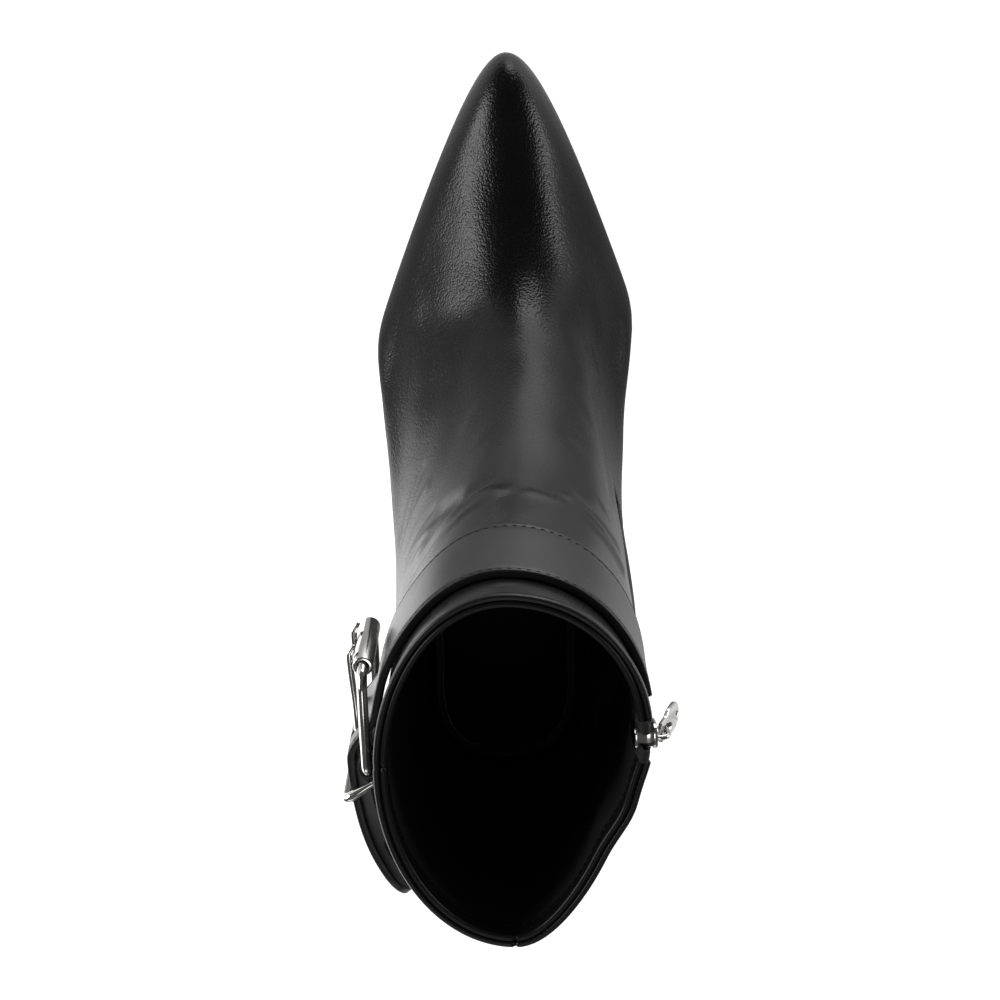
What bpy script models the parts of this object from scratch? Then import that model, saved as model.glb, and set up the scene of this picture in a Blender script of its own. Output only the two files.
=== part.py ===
"""Pointed heeled ankle boot for the left foot, with an inner side zip and a buckled ankle strap.

Tables and sizes are in millimetres and the meshes in metres. In the tables x runs forward from the
back of the heel, y to the boot's left, which is its outer side, and z up from the floor.
"""

import math
from collections import namedtuple

import bmesh
import bpy
import numpy as np
from mathutils import Matrix, Vector

MM = 0.001

# Driving dimensions
LENGTH = 230.0
HEEL_HEIGHT = 85.0
BALL_HALF = 40.7
COLLAR_HALF = 40.4
COLLAR_FRONT_HEIGHT = 236.0
COLLAR_BACK_HEIGHT = 229.0
WALL = 2.2
GAP = 0.3
RIDGE_FROM = 0.55

# Where the boot's own frame lies: the middle of its outline, on the floor
ORIGIN_X = 114.9
ORIGIN_Y = -1.2

# Sole and insole
SOLE_THICK = 3.0
SOLE_INSET = 0.7
SOLE_BEVEL = 0.9
SOLE_END_ANGLE = 0.07
INSOLE_THICK = 2.0
INSOLE_CLEAR = 1.7
INSOLE_BACK_ANGLE = 0.22
INSOLE_FRONT_ANGLE = 0.30
FEATHER_BACK = HEEL_HEIGHT + SOLE_THICK + GAP
TIP_HEIGHT = 5.5

# Small steps round the boot and up its wall that give the surface's directions
AROUND_PROBE = 0.02
UP_PROBE = 0.2

# How finely the solids are divided
SIDE_STEPS = 28
LEVEL_STEP = 9.5
SOLE_STEPS = 32
HEEL_SIDES = 28
ZIP_STEPS = 20
ROD_SIDES = 8
ROLLER_SIDES = 16
PUNCH_SIDES = 12

# Collar edge, thicker than the wall on both of its sides
RIM_DEPTH = 4.5
RIM_STEP = 1.0

# Zip on the inner side; angles are measured round the boot from its back, over the outer side
ZIP_ANGLE = 4.523
ZIP_HALF_ANGLE = 0.083
ZIP_TOP_DROP = 6.0
ZIP_END_GAP = 1.2
TAPE_THICK = 1.0
TAPE_DEPTH = 0.9
TAPE_EDGE_GAP = 0.4
CHAIN_HALF = 2.6
CHAIN_RISE = 0.2

# Slider of the zip, its bail and the pull tab
SLIDER_DROP = 7.0
SLIDER_LENGTH = 10.0
SLIDER_WIDTH = 7.4
SLIDER_FRONT = 2.2
SLIDER_BACK = -4.8
SLIDER_PLATE = 1.5
BAIL_RADIUS = 0.8
BAIL_RISE = 3.4
PULL_AXIS_RISE = 1.35
PULL_AXIS_UP = 0.6
PULL_LENGTH = 17.0
PULL_WIDTH = 8.6
PULL_NECK = 6.0
PULL_THICK = 1.4
PULL_HOLE = 4.4
PULL_HOLE_WIDTH = 2.8
PULL_SHOULDER = PULL_HOLE + 2.0
PULL_END_STEPS = 6
PULL_ANGLE = math.radians(24.0)

# Straps: the ankle strap runs from the zip round the front to its free end, the buckle strap from the
# zip round the back to the hinge bar. A lift is the height of a strap's back over the upper.
STRAP_THICK = 2.8
STRAP_BEVEL = 0.7
STRAP_LIFT = 0.4
STRAP_END_GAP = 0.045
STRAP_TIP_ANGLE = 0.67
STRAP_TIP_ROUND = 9.0
STRAP_TIP_BOW = 0.95
STRAP_TIP_TURNS = (0.35, 0.75, 1.15)
STRAP_STEP = 0.085
STRAP_LEAVES_ANGLE = 2.45
TAIL_SETTLE_ANGLE = 0.90
KEEPER_ANGLE = 1.375
HINGE_ANGLE = 1.46
ROLLER_ANGLE = 2.01
RISE_FRONT_ANGLE = 1.80
RISE_REAR_ANGLE = 1.50

# Buckle
BAR_RADIUS = 1.5
ROLLER_RADIUS = 3.1
ROLLER_LIFT = 9.2
FOLD_THICK = 0.9
KEEPER_INNER_RADIUS = 0.55
KEEPER_CLEAR = 0.4
BUCKLE_STRAP_LIFT = KEEPER_CLEAR + 2 * KEEPER_INNER_RADIUS + GAP
BUCKLE_STRAP_LEAVES_ANGLE = 0.15
BUCKLE_STRAP_RAISED_ANGLE = 1.00
EYE_SHARES = (0.35, 0.65, 1.0)
EYE_TURNS = (0.45, 0.85, 1.2)
HINGE_LIFT = BUCKLE_STRAP_LIFT + FOLD_THICK + GAP + BAR_RADIUS
EYE_RADIUS = BAR_RADIUS + GAP + FOLD_THICK
OVER_LIFT = HINGE_LIFT + EYE_RADIUS + 2 * GAP
UNDER_LIFT = 0.9
TAIL_LIFT = 8.6
FRAME_MARGIN = 1.2
FRAME_CORNERS = (5.8, 3.6)
PRONG_RADIUS = 1.1
PRONG_EYE = 0.6
PRONG_SPREAD = 8.5
PRONG_SLOT = 3.6
PRONG_SLOT_OVER = 1.4
PRONG_EYE_TURNS = (-75, -105, -135, -165, 165, 135, 110)
HOLE_LENGTH = 9.5
HOLE_WIDTH = 3.6
HOLE_AT = 7.4
HOLE_PITCH = 13.5
TAIL_HOLES = 2
TAIL_HOLE_START = 9.0
PUNCH_DEPTH = 16.0
KEEPER_RADIUS = 1.1
KEEPER_CORNER = 2.4
KEEPER_ROOM = 0.8
KEEPER_TILT = math.radians(25.0)
KEEPER_SIDE_GAP = 0.8

# A prong after its eye: the distance along from the hinge bar or from the roller, its height over the
# straight line from the eye to the roller's top, and its share of the full radius
ProngStep = namedtuple("ProngStep", "from_roller along over radius")
PRONG = [
    ProngStep(False, 1.5, 0.0, 0.55),
    ProngStep(False, 4.5, 0.0, 0.90),
    ProngStep(False, 16.0, 0.0, 1.00),
    ProngStep(True, -1.0, 0.1, 1.00),
    ProngStep(True, 2.0, -0.3, 0.90),
    ProngStep(True, 3.6, -1.4, 0.60),
]

# The bail of the slider: up the slider from its middle, and down from the bail's top
BailStep = namedtuple("BailStep", "up drop")
BAIL = [
    BailStep(4.0, 4.2),
    BailStep(4.0, 1.2),
    BailStep(3.2, 0.3),
    BailStep(2.2, 0.0),
    BailStep(-1.0, 0.0),
    BailStep(-2.0, 0.3),
    BailStep(-2.8, 1.2),
    BailStep(-2.8, 4.2),
]


# Side view of the line where the upper meets the sole
Station = namedtuple("Station", "x z")
BOTTOM = [
    Station(5.0, FEATHER_BACK),
    Station(44.0, FEATHER_BACK - 6.5),
    Station(84.0, 55.0),
    Station(122.0, 19.0),
    Station(148.0, 5.2),
    Station(168.0, 3.1),
    Station(186.0, 3.1),
    Station(LENGTH - 1.8, 9.2),
]

# Rings of the upper, from the feather edge at the sole to the collar. Each runs from a point on the
# boot's back to one on its front, seen from the side; arch is the share of the sole's curve that it
# follows, and front_y and back_y move its ends sideways.
Ring = namedtuple("Ring", "name front_x front_z front_y back_x back_z back_y arch")
RINGS = [
    Ring("feather", LENGTH - 1.8, 9.2, 0.0, 5.0, FEATHER_BACK, 0.0, 1.00),
    Ring("overhang", LENGTH, 14.0, 0.0, 2.0, 94.0, 0.0, 1.00),
    Ring("toe_roof", LENGTH - 5.5, 22.5, -0.3, 0.5, 99.5, 0.0, 0.93),
    Ring("toe_top", 209.0, 29.0, -1.2, 0.0, 105.0, 0.0, 0.80),
    Ring("vamp", 190.0, 36.0, -2.6, 0.0, 111.0, 0.0, 0.64),
    Ring("vamp_top", 171.0, 46.0, -4.2, 0.5, 118.0, 0.0, 0.46),
    Ring("instep", 152.5, 64.0, -5.6, 1.4, 126.0, 0.0, 0.30),
    Ring("instep_top", 136.5, 91.0, -5.8, 2.8, 136.0, -0.4, 0.15),
    Ring("ankle", 124.0, 124.0, -4.4, 4.6, 150.0, -0.8, 0.04),
    Ring("ankle_top", 118.8, 153.0, -2.6, 5.6, 163.0, -1.2, 0.00),
    Ring("strap_low", 116.5, 181.0, -1.2, 5.4, 176.5, -1.6, 0.00),
    Ring("strap_high", 114.5, 219.0, 0.0, 2.8, 213.5, -2.4, 0.00),
    Ring("collar", 114.8, COLLAR_FRONT_HEIGHT, 0.0, 0.6, COLLAR_BACK_HEIGHT, -2.8, 0.00),
]

# Half widths of the rings on each side: at the heel, at the waist and at the ball, which lie at the
# shares heel_at and ball_at of a ring's length, with the waist half way between them. seat is how soon
# the back end reaches its full width, and tail and nose are the roundness of the back and front ends,
# from a point near 0 to an ellipse above 20.
Width = namedtuple("Width", "heel_at heel waist ball_at ball seat tail nose")
OUTER = [
    Width(0.13, 24.8, 27.0, 0.620, 37.4, 0.06, 50.0, 0.20),
    Width(0.13, 28.0, 32.0, 0.620, 40.2, 0.06, 50.0, 0.20),
    Width(0.14, 29.4, 33.8, 0.618, BALL_HALF, 0.06, 50.0, 0.24),
    Width(0.15, 30.2, 34.4, 0.610, 39.4, 0.07, 50.0, 0.48),
    Width(0.16, 31.0, 34.4, 0.598, 38.2, 0.08, 50.0, 1.00),
    Width(0.18, 31.8, 34.2, 0.580, 36.8, 0.11, 50.0, 2.00),
    Width(0.22, 32.6, 34.2, 0.550, 35.7, 0.16, 50.0, 3.20),
    Width(0.28, 33.4, 34.8, 0.530, 35.5, 0.30, 50.0, 6.00),
    Width(0.36, 34.6, 35.4, 0.510, 35.8, 0.80, 50.0, 20.0),
    Width(0.40, 35.2, 35.7, 0.500, 36.0, 5.00, 50.0, 50.0),
    Width(0.40, 36.0, 36.6, 0.500, 36.8, 50.0, 50.0, 50.0),
    Width(0.40, 38.2, 38.8, 0.500, 39.0, 50.0, 50.0, 50.0),
    Width(0.40, 39.6, 40.2, 0.500, COLLAR_HALF, 50.0, 50.0, 50.0),
]
INNER = [
    Width(0.13, 24.8, 22.5, 0.660, 37.2, 0.06, 50.0, 0.22),
    Width(0.13, 28.0, 28.2, 0.660, 39.6, 0.06, 50.0, 0.22),
    Width(0.14, 29.4, 31.2, 0.655, 39.8, 0.06, 50.0, 0.25),
    Width(0.15, 30.0, 33.0, 0.648, 38.6, 0.07, 50.0, 0.44),
    Width(0.16, 30.6, 34.4, 0.635, 37.4, 0.08, 50.0, 0.85),
    Width(0.18, 31.2, 35.6, 0.615, 36.9, 0.11, 40.0, 1.60),
    Width(0.22, 31.6, 36.8, 0.600, 37.4, 0.16, 20.0, 3.20),
    Width(0.26, 31.8, 38.3, 0.600, 39.0, 0.30, 8.0, 5.00),
    Width(0.28, 31.6, 39.0, 0.600, 40.3, 0.80, 3.0, 6.00),
    Width(0.28, 31.0, 38.5, 0.600, 40.2, 5.00, 1.2, 5.00),
    Width(0.26, 29.4, 37.4, 0.600, 39.4, 50.0, 0.6, 4.00),
    Width(0.25, 27.4, 36.8, 0.600, 40.4, 50.0, 0.3, 3.00),
    Width(0.24, 26.4, 37.0, 0.600, 41.8, 50.0, 0.2, 3.00),
]


def spline(knots, values):
    """A natural cubic spline through the values, as a function of positions along the knots."""
    knots = np.asarray(knots, float)
    values = np.asarray(values, float)
    count = len(knots)
    steps = np.diff(knots)
    slopes = np.diff(values, axis=0) / steps.reshape((-1,) + (1,) * (values.ndim - 1))
    system = np.eye(count)
    target = np.zeros_like(values)
    for i in range(1, count - 1):
        system[i, i - 1] = steps[i - 1]
        system[i, i] = 2 * (steps[i - 1] + steps[i])
        system[i, i + 1] = steps[i]
        target[i] = 6 * (slopes[i] - slopes[i - 1])
    bends = np.linalg.solve(system, target.reshape(count, -1)).reshape(values.shape)

    def at(positions):
        positions = np.atleast_1d(np.asarray(positions, float))
        i = np.clip(np.searchsorted(knots, positions) - 1, 0, count - 2)
        shape = (-1,) + (1,) * (values.ndim - 1)
        step = steps[i].reshape(shape)
        b = ((positions - knots[i]).reshape(shape)) / step
        a = 1 - b
        curve = ((a**3 - a) * bends[i] + (b**3 - b) * bends[i + 1]) * step**2 / 6
        return a * values[i] + b * values[i + 1] + curve

    return at


bottom_z = spline([row.x for row in BOTTOM], [row.z for row in BOTTOM])


def ease(share):
    """A smooth step from 0 to 1."""
    share = np.clip(share, 0, 1)
    return share**3 * (share * (6 * share - 15) + 10)


def mix(a, b, share):
    return a + (b - a) * share


def half_width(row, along):
    """Half width of one side of a ring at shares of its length."""

    def ends(at):
        front = 1 - at
        seat = (1 - np.exp(-at / row.seat)) / (1 - math.exp(-1 / row.seat))
        tail = seat * (at + 2 * row.tail) / (1 + 2 * row.tail)
        nose = (front**2 + 2 * row.nose * front) / (1 + 2 * row.nose)
        return np.sqrt(np.maximum(tail * nose, 0))

    waist_at = (row.heel_at + row.ball_at) / 2
    heel = row.heel / ends(row.heel_at)
    waist = row.waist / ends(waist_at)
    ball = row.ball / ends(row.ball_at)
    to_waist = ease((along - row.heel_at) / (waist_at - row.heel_at))
    to_ball = ease((along - waist_at) / (row.ball_at - waist_at))
    return (heel + (waist - heel) * to_waist + (ball - waist) * to_ball) * ends(along)


def ring_points(index, angles):
    """Points of a ring at angles measured from the boot's back, over its outer side."""
    ring = RINGS[index]
    feather = RINGS[0]
    along = (1 - np.cos(angles)) / 2
    sole_x = mix(feather.back_x, feather.front_x, along)
    sag = bottom_z(sole_x) - mix(feather.back_z, feather.front_z, along)
    x = mix(ring.back_x, ring.front_x, along)
    z = mix(ring.back_z, ring.front_z, along) + ring.arch * sag
    outer = half_width(OUTER[index], along)
    inner = half_width(INNER[index], along)
    shift = ring.front_y * ease((along - RIDGE_FROM) / (1 - RIDGE_FROM)) + ring.back_y * (1 - along)
    y = np.where(np.sin(angles) >= 0, outer, -inner) + shift
    return np.stack([x, y, z], axis=-1)


def ring_levels():
    """The level of each ring: the mean distance up the wall from the feather edge."""
    angles = np.linspace(0, 2 * math.pi, 48, endpoint=False)
    rings = np.stack([ring_points(i, angles) for i in range(len(RINGS))])
    steps = np.linalg.norm(np.diff(rings, axis=0), axis=-1).mean(axis=1)
    return np.concatenate([[0.0], np.cumsum(steps)])


LEVELS = ring_levels()
LEVEL = {ring.name: level for ring, level in zip(RINGS, LEVELS)}


def skin_sheet(levels, angles):
    """The upper's outer surface as an array of points, a row for each level."""
    rings = np.stack([ring_points(i, np.asarray(angles, float)) for i in range(len(RINGS))])
    return spline(LEVELS, rings)(levels)


def skin_normals(levels, angles):
    """Outward normals of the upper's outer surface."""
    levels = np.atleast_1d(np.asarray(levels, float))
    angles = np.atleast_1d(np.asarray(angles, float))
    up = skin_sheet(levels + UP_PROBE, angles) - skin_sheet(levels - UP_PROBE, angles)
    around = skin_sheet(levels, angles + AROUND_PROBE) - skin_sheet(levels, angles - AROUND_PROBE)
    normal = np.cross(up, around)
    normal /= np.linalg.norm(normal, axis=-1, keepdims=True)
    return normal


def skin(levels, angles, lift=0.0):
    """Points lifted off the upper's outer surface; a negative lift lies in the wall or inside."""
    points = skin_sheet(levels, angles)
    lift = np.asarray(lift, float)
    if lift.ndim == 1:
        lift = lift[None, :]
    return points + skin_normals(levels, angles) * lift[..., None]


def skin_point(level, angle, lift=0.0):
    return Vector(skin([level], [angle], lift)[0, 0])


def to_frame(points):
    """Points of the tables as metres in the boot's own frame."""
    return (np.asarray(points, float) - (ORIGIN_X, ORIGIN_Y, 0.0)) * MM


def clear_scene():
    for obj in list(bpy.data.objects):
        bpy.data.objects.remove(obj)


def make_material(name, colour, roughness, metallic=0.0):
    material = bpy.data.materials.new(name)
    material.use_nodes = True
    shader = material.node_tree.nodes["Principled BSDF"]
    shader.inputs["Base Color"].default_value = (*colour, 1.0)
    shader.inputs["Roughness"].default_value = roughness
    shader.inputs["Metallic"].default_value = metallic
    return material


def add_object(name, points, faces, material, smooth_angle=40.0):
    """A mesh object from points in the tables' frame and faces, turned to point outwards."""
    mesh = bpy.data.meshes.new(name)
    mesh.from_pydata([tuple(p) for p in to_frame(points)], [], faces)
    work = bmesh.new()
    work.from_mesh(mesh)
    bmesh.ops.recalc_face_normals(work, faces=work.faces)
    work.to_mesh(mesh)
    work.free()
    mesh.shade_smooth()
    mesh.set_sharp_from_angle(angle=math.radians(smooth_angle))
    mesh.materials.append(material)
    obj = bpy.data.objects.new(name, mesh)
    bpy.context.scene.collection.objects.link(obj)
    return obj


def loft(name, sections, material, closed=False):
    """A solid through closed sections with the same number of points, capped unless it is closed."""
    sections = np.asarray(sections, float)
    count, sides = sections.shape[:2]
    faces = []
    for i in range(count if closed else count - 1):
        a = i * sides
        b = ((i + 1) % count) * sides
        for j in range(sides):
            k = (j + 1) % sides
            faces.append((a + j, a + k, b + k, b + j))
    if not closed:
        faces.append(tuple(range(sides)))
        faces.append(tuple(range((count - 1) * sides, count * sides)))
    return add_object(name, sections.reshape(-1, 3), faces, material)


def shell(name, outer, inner, keep, material):
    """A wall between two sheets that close round the boot, of the cells that keep marks."""
    levels, around = outer.shape[:2]
    points = np.concatenate([outer.reshape(-1, 3), inner.reshape(-1, 3)])
    offset = levels * around
    faces = []
    edge_uses = {}
    for i in range(levels - 1):
        for j in range(around):
            if not keep[i, j]:
                continue
            k = (j + 1) % around
            corners = (i * around + j, i * around + k, (i + 1) * around + k, (i + 1) * around + j)
            faces.append(corners)
            faces.append(tuple(offset + c for c in reversed(corners)))
            for a, b in zip(corners, corners[1:] + corners[:1]):
                edge_uses.setdefault((min(a, b), max(a, b)), []).append((a, b))
    for uses in edge_uses.values():
        if len(uses) == 1:
            a, b = uses[0]
            faces.append((b, a, offset + a, offset + b))
    used = sorted({corner for face in faces for corner in face})
    index = {corner: i for i, corner in enumerate(used)}
    faces = [tuple(index[c] for c in face) for face in faces]
    return add_object(name, points[used], faces, material)


def tube(name, path, radius, sides, material, closed=False):
    """A round bar along a path, with a radius that may differ from point to point."""
    path = [Vector(p) for p in path]
    radii = np.broadcast_to(radius, (len(path),))
    count = len(path)
    sections = []
    normal = None
    for i, point in enumerate(path):
        before = path[i - 1] if closed or i else point
        after = path[(i + 1) % count] if closed or i < count - 1 else point
        tangent = (after - before).normalized()
        if normal is None:
            normal = tangent.orthogonal().normalized()
        normal = (normal - tangent * normal.dot(tangent)).normalized()
        binormal = tangent.cross(normal)
        turns = [2 * math.pi * k / sides for k in range(sides)]
        sections.append(
            [point + (normal * math.cos(a) + binormal * math.sin(a)) * radii[i] for a in turns]
        )
    return loft(name, np.array(sections), material, closed)


# Heel from the seat down to the tip: share of the height, the back and front of the section, its half
# width and how much of it keeps the outline of the seat
HeelSection = namedtuple("HeelSection", "share back front half seat")
HEEL = [
    HeelSection(1.00, 6.8, 57.0, 23.0, 1.00),
    HeelSection(0.94, 6.6, 51.5, 22.2, 0.95),
    HeelSection(0.86, 7.4, 45.8, 19.6, 0.85),
    HeelSection(0.75, 9.8, 40.8, 15.6, 0.60),
    HeelSection(0.61, 13.4, 37.0, 11.6, 0.35),
    HeelSection(0.44, 16.8, 34.4, 8.6, 0.15),
    HeelSection(0.25, 19.0, 33.0, 6.9, 0.00),
    HeelSection(0.08, 20.0, 32.6, 6.3, 0.00),
    HeelSection(0.00, 20.2, 32.6, 6.2, 0.00),
]


def side_angles():
    """Angles round the boot, with two lines along the edges of the zip's slot."""
    zip_front = ZIP_ANGLE - ZIP_HALF_ANGLE
    zip_rear = ZIP_ANGLE + ZIP_HALF_ANGLE
    step = math.pi / SIDE_STEPS
    front_steps = round((zip_front - math.pi) / step)
    rear_steps = round((2 * math.pi - zip_rear) / step)
    outer = np.linspace(0, math.pi, SIDE_STEPS, endpoint=False)
    front = np.linspace(math.pi, zip_front, front_steps, endpoint=False)
    rear = np.linspace(zip_rear, 2 * math.pi, rear_steps, endpoint=False)
    return np.concatenate([outer, front, [zip_front], rear])


def wall_levels():
    """Levels of the upper's mesh: each ring, even steps between, and the step of the collar's edge."""
    levels = [0.0]
    for low, high in zip(LEVELS, LEVELS[1:]):
        steps = max(1, round((high - low) / LEVEL_STEP))
        levels.extend(np.linspace(low, high, steps + 1)[1:])
    rim = LEVEL["collar"] - RIM_DEPTH
    levels = [level for level in levels if level < rim - 2 * RIM_STEP or level == levels[-1]]
    return np.array(levels[:-1] + [rim - RIM_STEP, rim, levels[-1]])


def build_upper(material):
    levels = wall_levels()
    angles = side_angles()
    rim = np.where(levels >= LEVEL["collar"] - RIM_DEPTH, RIM_STEP, 0.0)[:, None]
    outer = skin(levels, angles, rim)
    inner = skin(levels, angles, -WALL - rim)
    inner[0, :, 2] = outer[0, :, 2]
    keep = np.ones((len(levels) - 1, len(angles)), bool)
    slot = int(np.argmin(np.abs(angles - (ZIP_ANGLE - ZIP_HALF_ANGLE))))
    keep[levels[:-1] >= LEVEL["instep"] - MM, slot] = False
    return shell("upper", outer, inner, keep, material)


def feather_line(angles, inset):
    """The upper's feather edge from above, moved inwards by an inset."""
    point = ring_points(0, angles)[:, :2]
    ahead = ring_points(0, angles + AROUND_PROBE)[:, :2] - ring_points(0, angles - AROUND_PROBE)[:, :2]
    normal = np.stack([-ahead[:, 1], ahead[:, 0]], axis=-1)
    normal /= np.linalg.norm(normal, axis=-1, keepdims=True)
    return point - normal * inset * np.sign(normal[:, 1:2] * np.sin(angles)[:, None])


def sole_plate(name, angles, edges, material):
    """A plate under the foot: edges gives pairs of an inset and a height over the feather edge."""
    sections = []
    for side in (angles, 2 * math.pi - angles):
        for inset, rise in edges if side is angles else reversed(edges):
            line = feather_line(side, inset)
            z = np.maximum(bottom_z(line[:, 0]) + rise, 0.0)
            sections.append(np.column_stack([line, z]))
    return loft(name, np.stack(sections, axis=1), material)


def build_sole(outsole_material, insole_material):
    inner = WALL + INSOLE_CLEAR
    angles = np.linspace(INSOLE_BACK_ANGLE, math.pi - INSOLE_FRONT_ANGLE, SOLE_STEPS)
    sole_plate("insole", angles, [(inner, INSOLE_THICK), (inner, 0.0)], insole_material)
    angles = np.linspace(SOLE_END_ANGLE, math.pi - SOLE_END_ANGLE, SOLE_STEPS)
    low = -GAP - SOLE_THICK
    edges = [(SOLE_INSET, -GAP), (SOLE_INSET, low + SOLE_BEVEL), (SOLE_INSET + SOLE_BEVEL, low)]
    sole_plate("outsole", angles, edges, outsole_material)


def heel_ring(section, base, flat=None):
    """A section of the heel; its height follows the sole's underside unless it is flat."""
    feather = RINGS[0]
    turn = np.linspace(0, 2 * math.pi, HEEL_SIDES, endpoint=False)
    along = (1 - np.cos(turn)) / 2
    x = mix(section.back, section.front, along)
    top = HEEL[0]
    seat_x = mix(top.back, top.front, along)
    seat_at = (seat_x - feather.back_x) / (feather.front_x - feather.back_x)
    seat = half_width(OUTER[0], seat_at) - SOLE_INSET - SOLE_BEVEL - GAP
    seat = seat / top.half * section.half * np.sqrt(np.maximum(1 - along**8, 0))
    round_half = section.half * np.abs(np.sin(turn))
    y = np.where(np.sin(turn) >= 0, 1, -1) * mix(round_half, seat, section.seat)
    under = bottom_z(seat_x) - 2 * GAP - SOLE_THICK
    z = base + (under - base) * section.share if flat is None else np.full_like(x, flat)
    return np.stack([x, y, z], axis=-1)


def build_heel(heel_material, tip_material):
    base = TIP_HEIGHT + GAP
    loft("heel", [heel_ring(section, base) for section in HEEL], heel_material)
    foot = HEEL[-1]
    loft("heel_tip", [heel_ring(foot, 0.0, 0.0), heel_ring(foot, 0.0, TIP_HEIGHT)], tip_material)


class Place:
    """A point over the upper with its own directions: along the ring, up the wall and outwards."""

    def __init__(self, level, angle, lift=0.0):
        self.point = skin_point(level, angle, lift)
        along = skin_point(level, angle + AROUND_PROBE, lift) - skin_point(level, angle - AROUND_PROBE, lift)
        up = skin_point(level + UP_PROBE, angle, lift) - skin_point(level - UP_PROBE, angle, lift)
        self.out = up.cross(along).normalized()
        self.along = along.normalized()
        self.up = self.along.cross(self.out)

    def at(self, along, up, out):
        return self.point + self.along * along + self.up * up + self.out * out


STRAP_MIDDLE = (LEVEL["strap_low"] + LEVEL["strap_high"]) / 2
STRAP_HALF = (LEVEL["strap_high"] - LEVEL["strap_low"]) / 2


def strap_section(angle, lift, thick, half):
    """A section across a strap, with bevelled edges."""
    bevel = min(STRAP_BEVEL, thick / 3)
    rows = [
        (bevel - half, lift),
        (half - bevel, lift),
        (half, lift + bevel),
        (half, lift + thick - bevel),
        (half - bevel, lift + thick),
        (bevel - half, lift + thick),
        (-half, lift + thick - bevel),
        (-half, lift + bevel),
    ]
    levels = STRAP_MIDDLE + np.array([row[0] for row in rows])
    lifts = np.array([row[1] for row in rows])[:, None]
    return skin(levels, [angle], lifts)[:, 0]


def blend(x, table):
    """A value that eases from row to row of a table of positions and values."""
    value = table[0][1]
    for (x0, v0), (x1, v1) in zip(table, table[1:]):
        value = value + (v1 - v0) * float(ease((x - x0) / (x1 - x0)))
    return value


def mm_per_radian(angle, level):
    """How far one radian round the boot reaches at an angle of a level."""
    step = skin_point(level, angle + AROUND_PROBE) - skin_point(level, angle - AROUND_PROBE)
    return step.length / (2 * AROUND_PROBE)


def build_ankle_strap(material, buckle):
    lifts = [
        (-ZIP_ANGLE, STRAP_LIFT),
        (-STRAP_LEAVES_ANGLE, STRAP_LIFT),
        (-ROLLER_ANGLE, UNDER_LIFT),
        (-RISE_FRONT_ANGLE, UNDER_LIFT),
        (-RISE_REAR_ANGLE, OVER_LIFT),
        (-HINGE_ANGLE, OVER_LIFT),
        (-TAIL_SETTLE_ANGLE, TAIL_LIFT),
    ]
    start = ZIP_ANGLE - ZIP_HALF_ANGLE - STRAP_END_GAP
    steps = round((start - STRAP_TIP_ANGLE) / STRAP_STEP)
    scale = mm_per_radian(STRAP_TIP_ANGLE, STRAP_MIDDLE)
    angles = list(np.linspace(start, STRAP_TIP_ANGLE, steps))
    corner = [STRAP_TIP_ANGLE + STRAP_TIP_ROUND * (1 - math.sin(t)) / scale for t in STRAP_TIP_TURNS]
    angles = [a for a in angles if a > corner[0] + STRAP_STEP / 3] + corner + [STRAP_TIP_ANGLE]
    sections = []
    for angle in angles:
        rest = (angle - STRAP_TIP_ANGLE) * scale
        cut = max(STRAP_TIP_ROUND - rest, 0.0) / STRAP_TIP_ROUND
        half = STRAP_HALF - STRAP_TIP_ROUND * (1 - math.sqrt(1 - cut**2)) * STRAP_TIP_BOW
        sections.append(strap_section(angle, blend(-angle, lifts), STRAP_THICK, half))
    strap = loft("ankle_strap", sections, material)
    for spread in (-PRONG_SPREAD, PRONG_SPREAD):
        hole = oval_cutter(buckle.at(HOLE_AT, spread, 0.0), buckle)
        boolean(strap, hole, "DIFFERENCE")
        for k in range(TAIL_HOLES):
            angle = KEEPER_ANGLE - (TAIL_HOLE_START + k * HOLE_PITCH) / scale
            place = Place(STRAP_MIDDLE, angle, TAIL_LIFT + STRAP_THICK)
            boolean(strap, oval_cutter(place.at(0.0, spread, 0.0), place, STRAP_THICK), "DIFFERENCE")
    return strap


def oval_cutter(point, place, depth=PUNCH_DEPTH):
    """An oval punch through a strap at a point, along the strap."""
    half = HOLE_LENGTH / 2 - HOLE_WIDTH / 2
    ring = []
    for k in range(PUNCH_SIDES):
        a = 2 * math.pi * (k + 0.5) / PUNCH_SIDES
        shift = half if math.cos(a) > 0 else -half
        ring.append((shift + HOLE_WIDTH / 2 * math.cos(a), HOLE_WIDTH / 2 * math.sin(a)))
    sections = []
    for out in (-depth / 2, depth / 2):
        sections.append([point + place.along * u + place.up * v + place.out * out for u, v in ring])
    return loft("punch", sections, bpy.data.materials[0])


def boolean(target, tool, operation):
    """Cut a tool from an object or join it on, and remove the tool."""
    modifier = target.modifiers.new("boolean", "BOOLEAN")
    modifier.operation = operation
    modifier.solver = "EXACT"
    modifier.object = tool
    graph = bpy.context.evaluated_depsgraph_get()
    mesh = bpy.data.meshes.new_from_object(target.evaluated_get(graph))
    target.modifiers.clear()
    old = target.data
    target.data = mesh
    mesh.name = target.name
    bpy.data.meshes.remove(old)
    bpy.data.objects.remove(tool)


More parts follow.
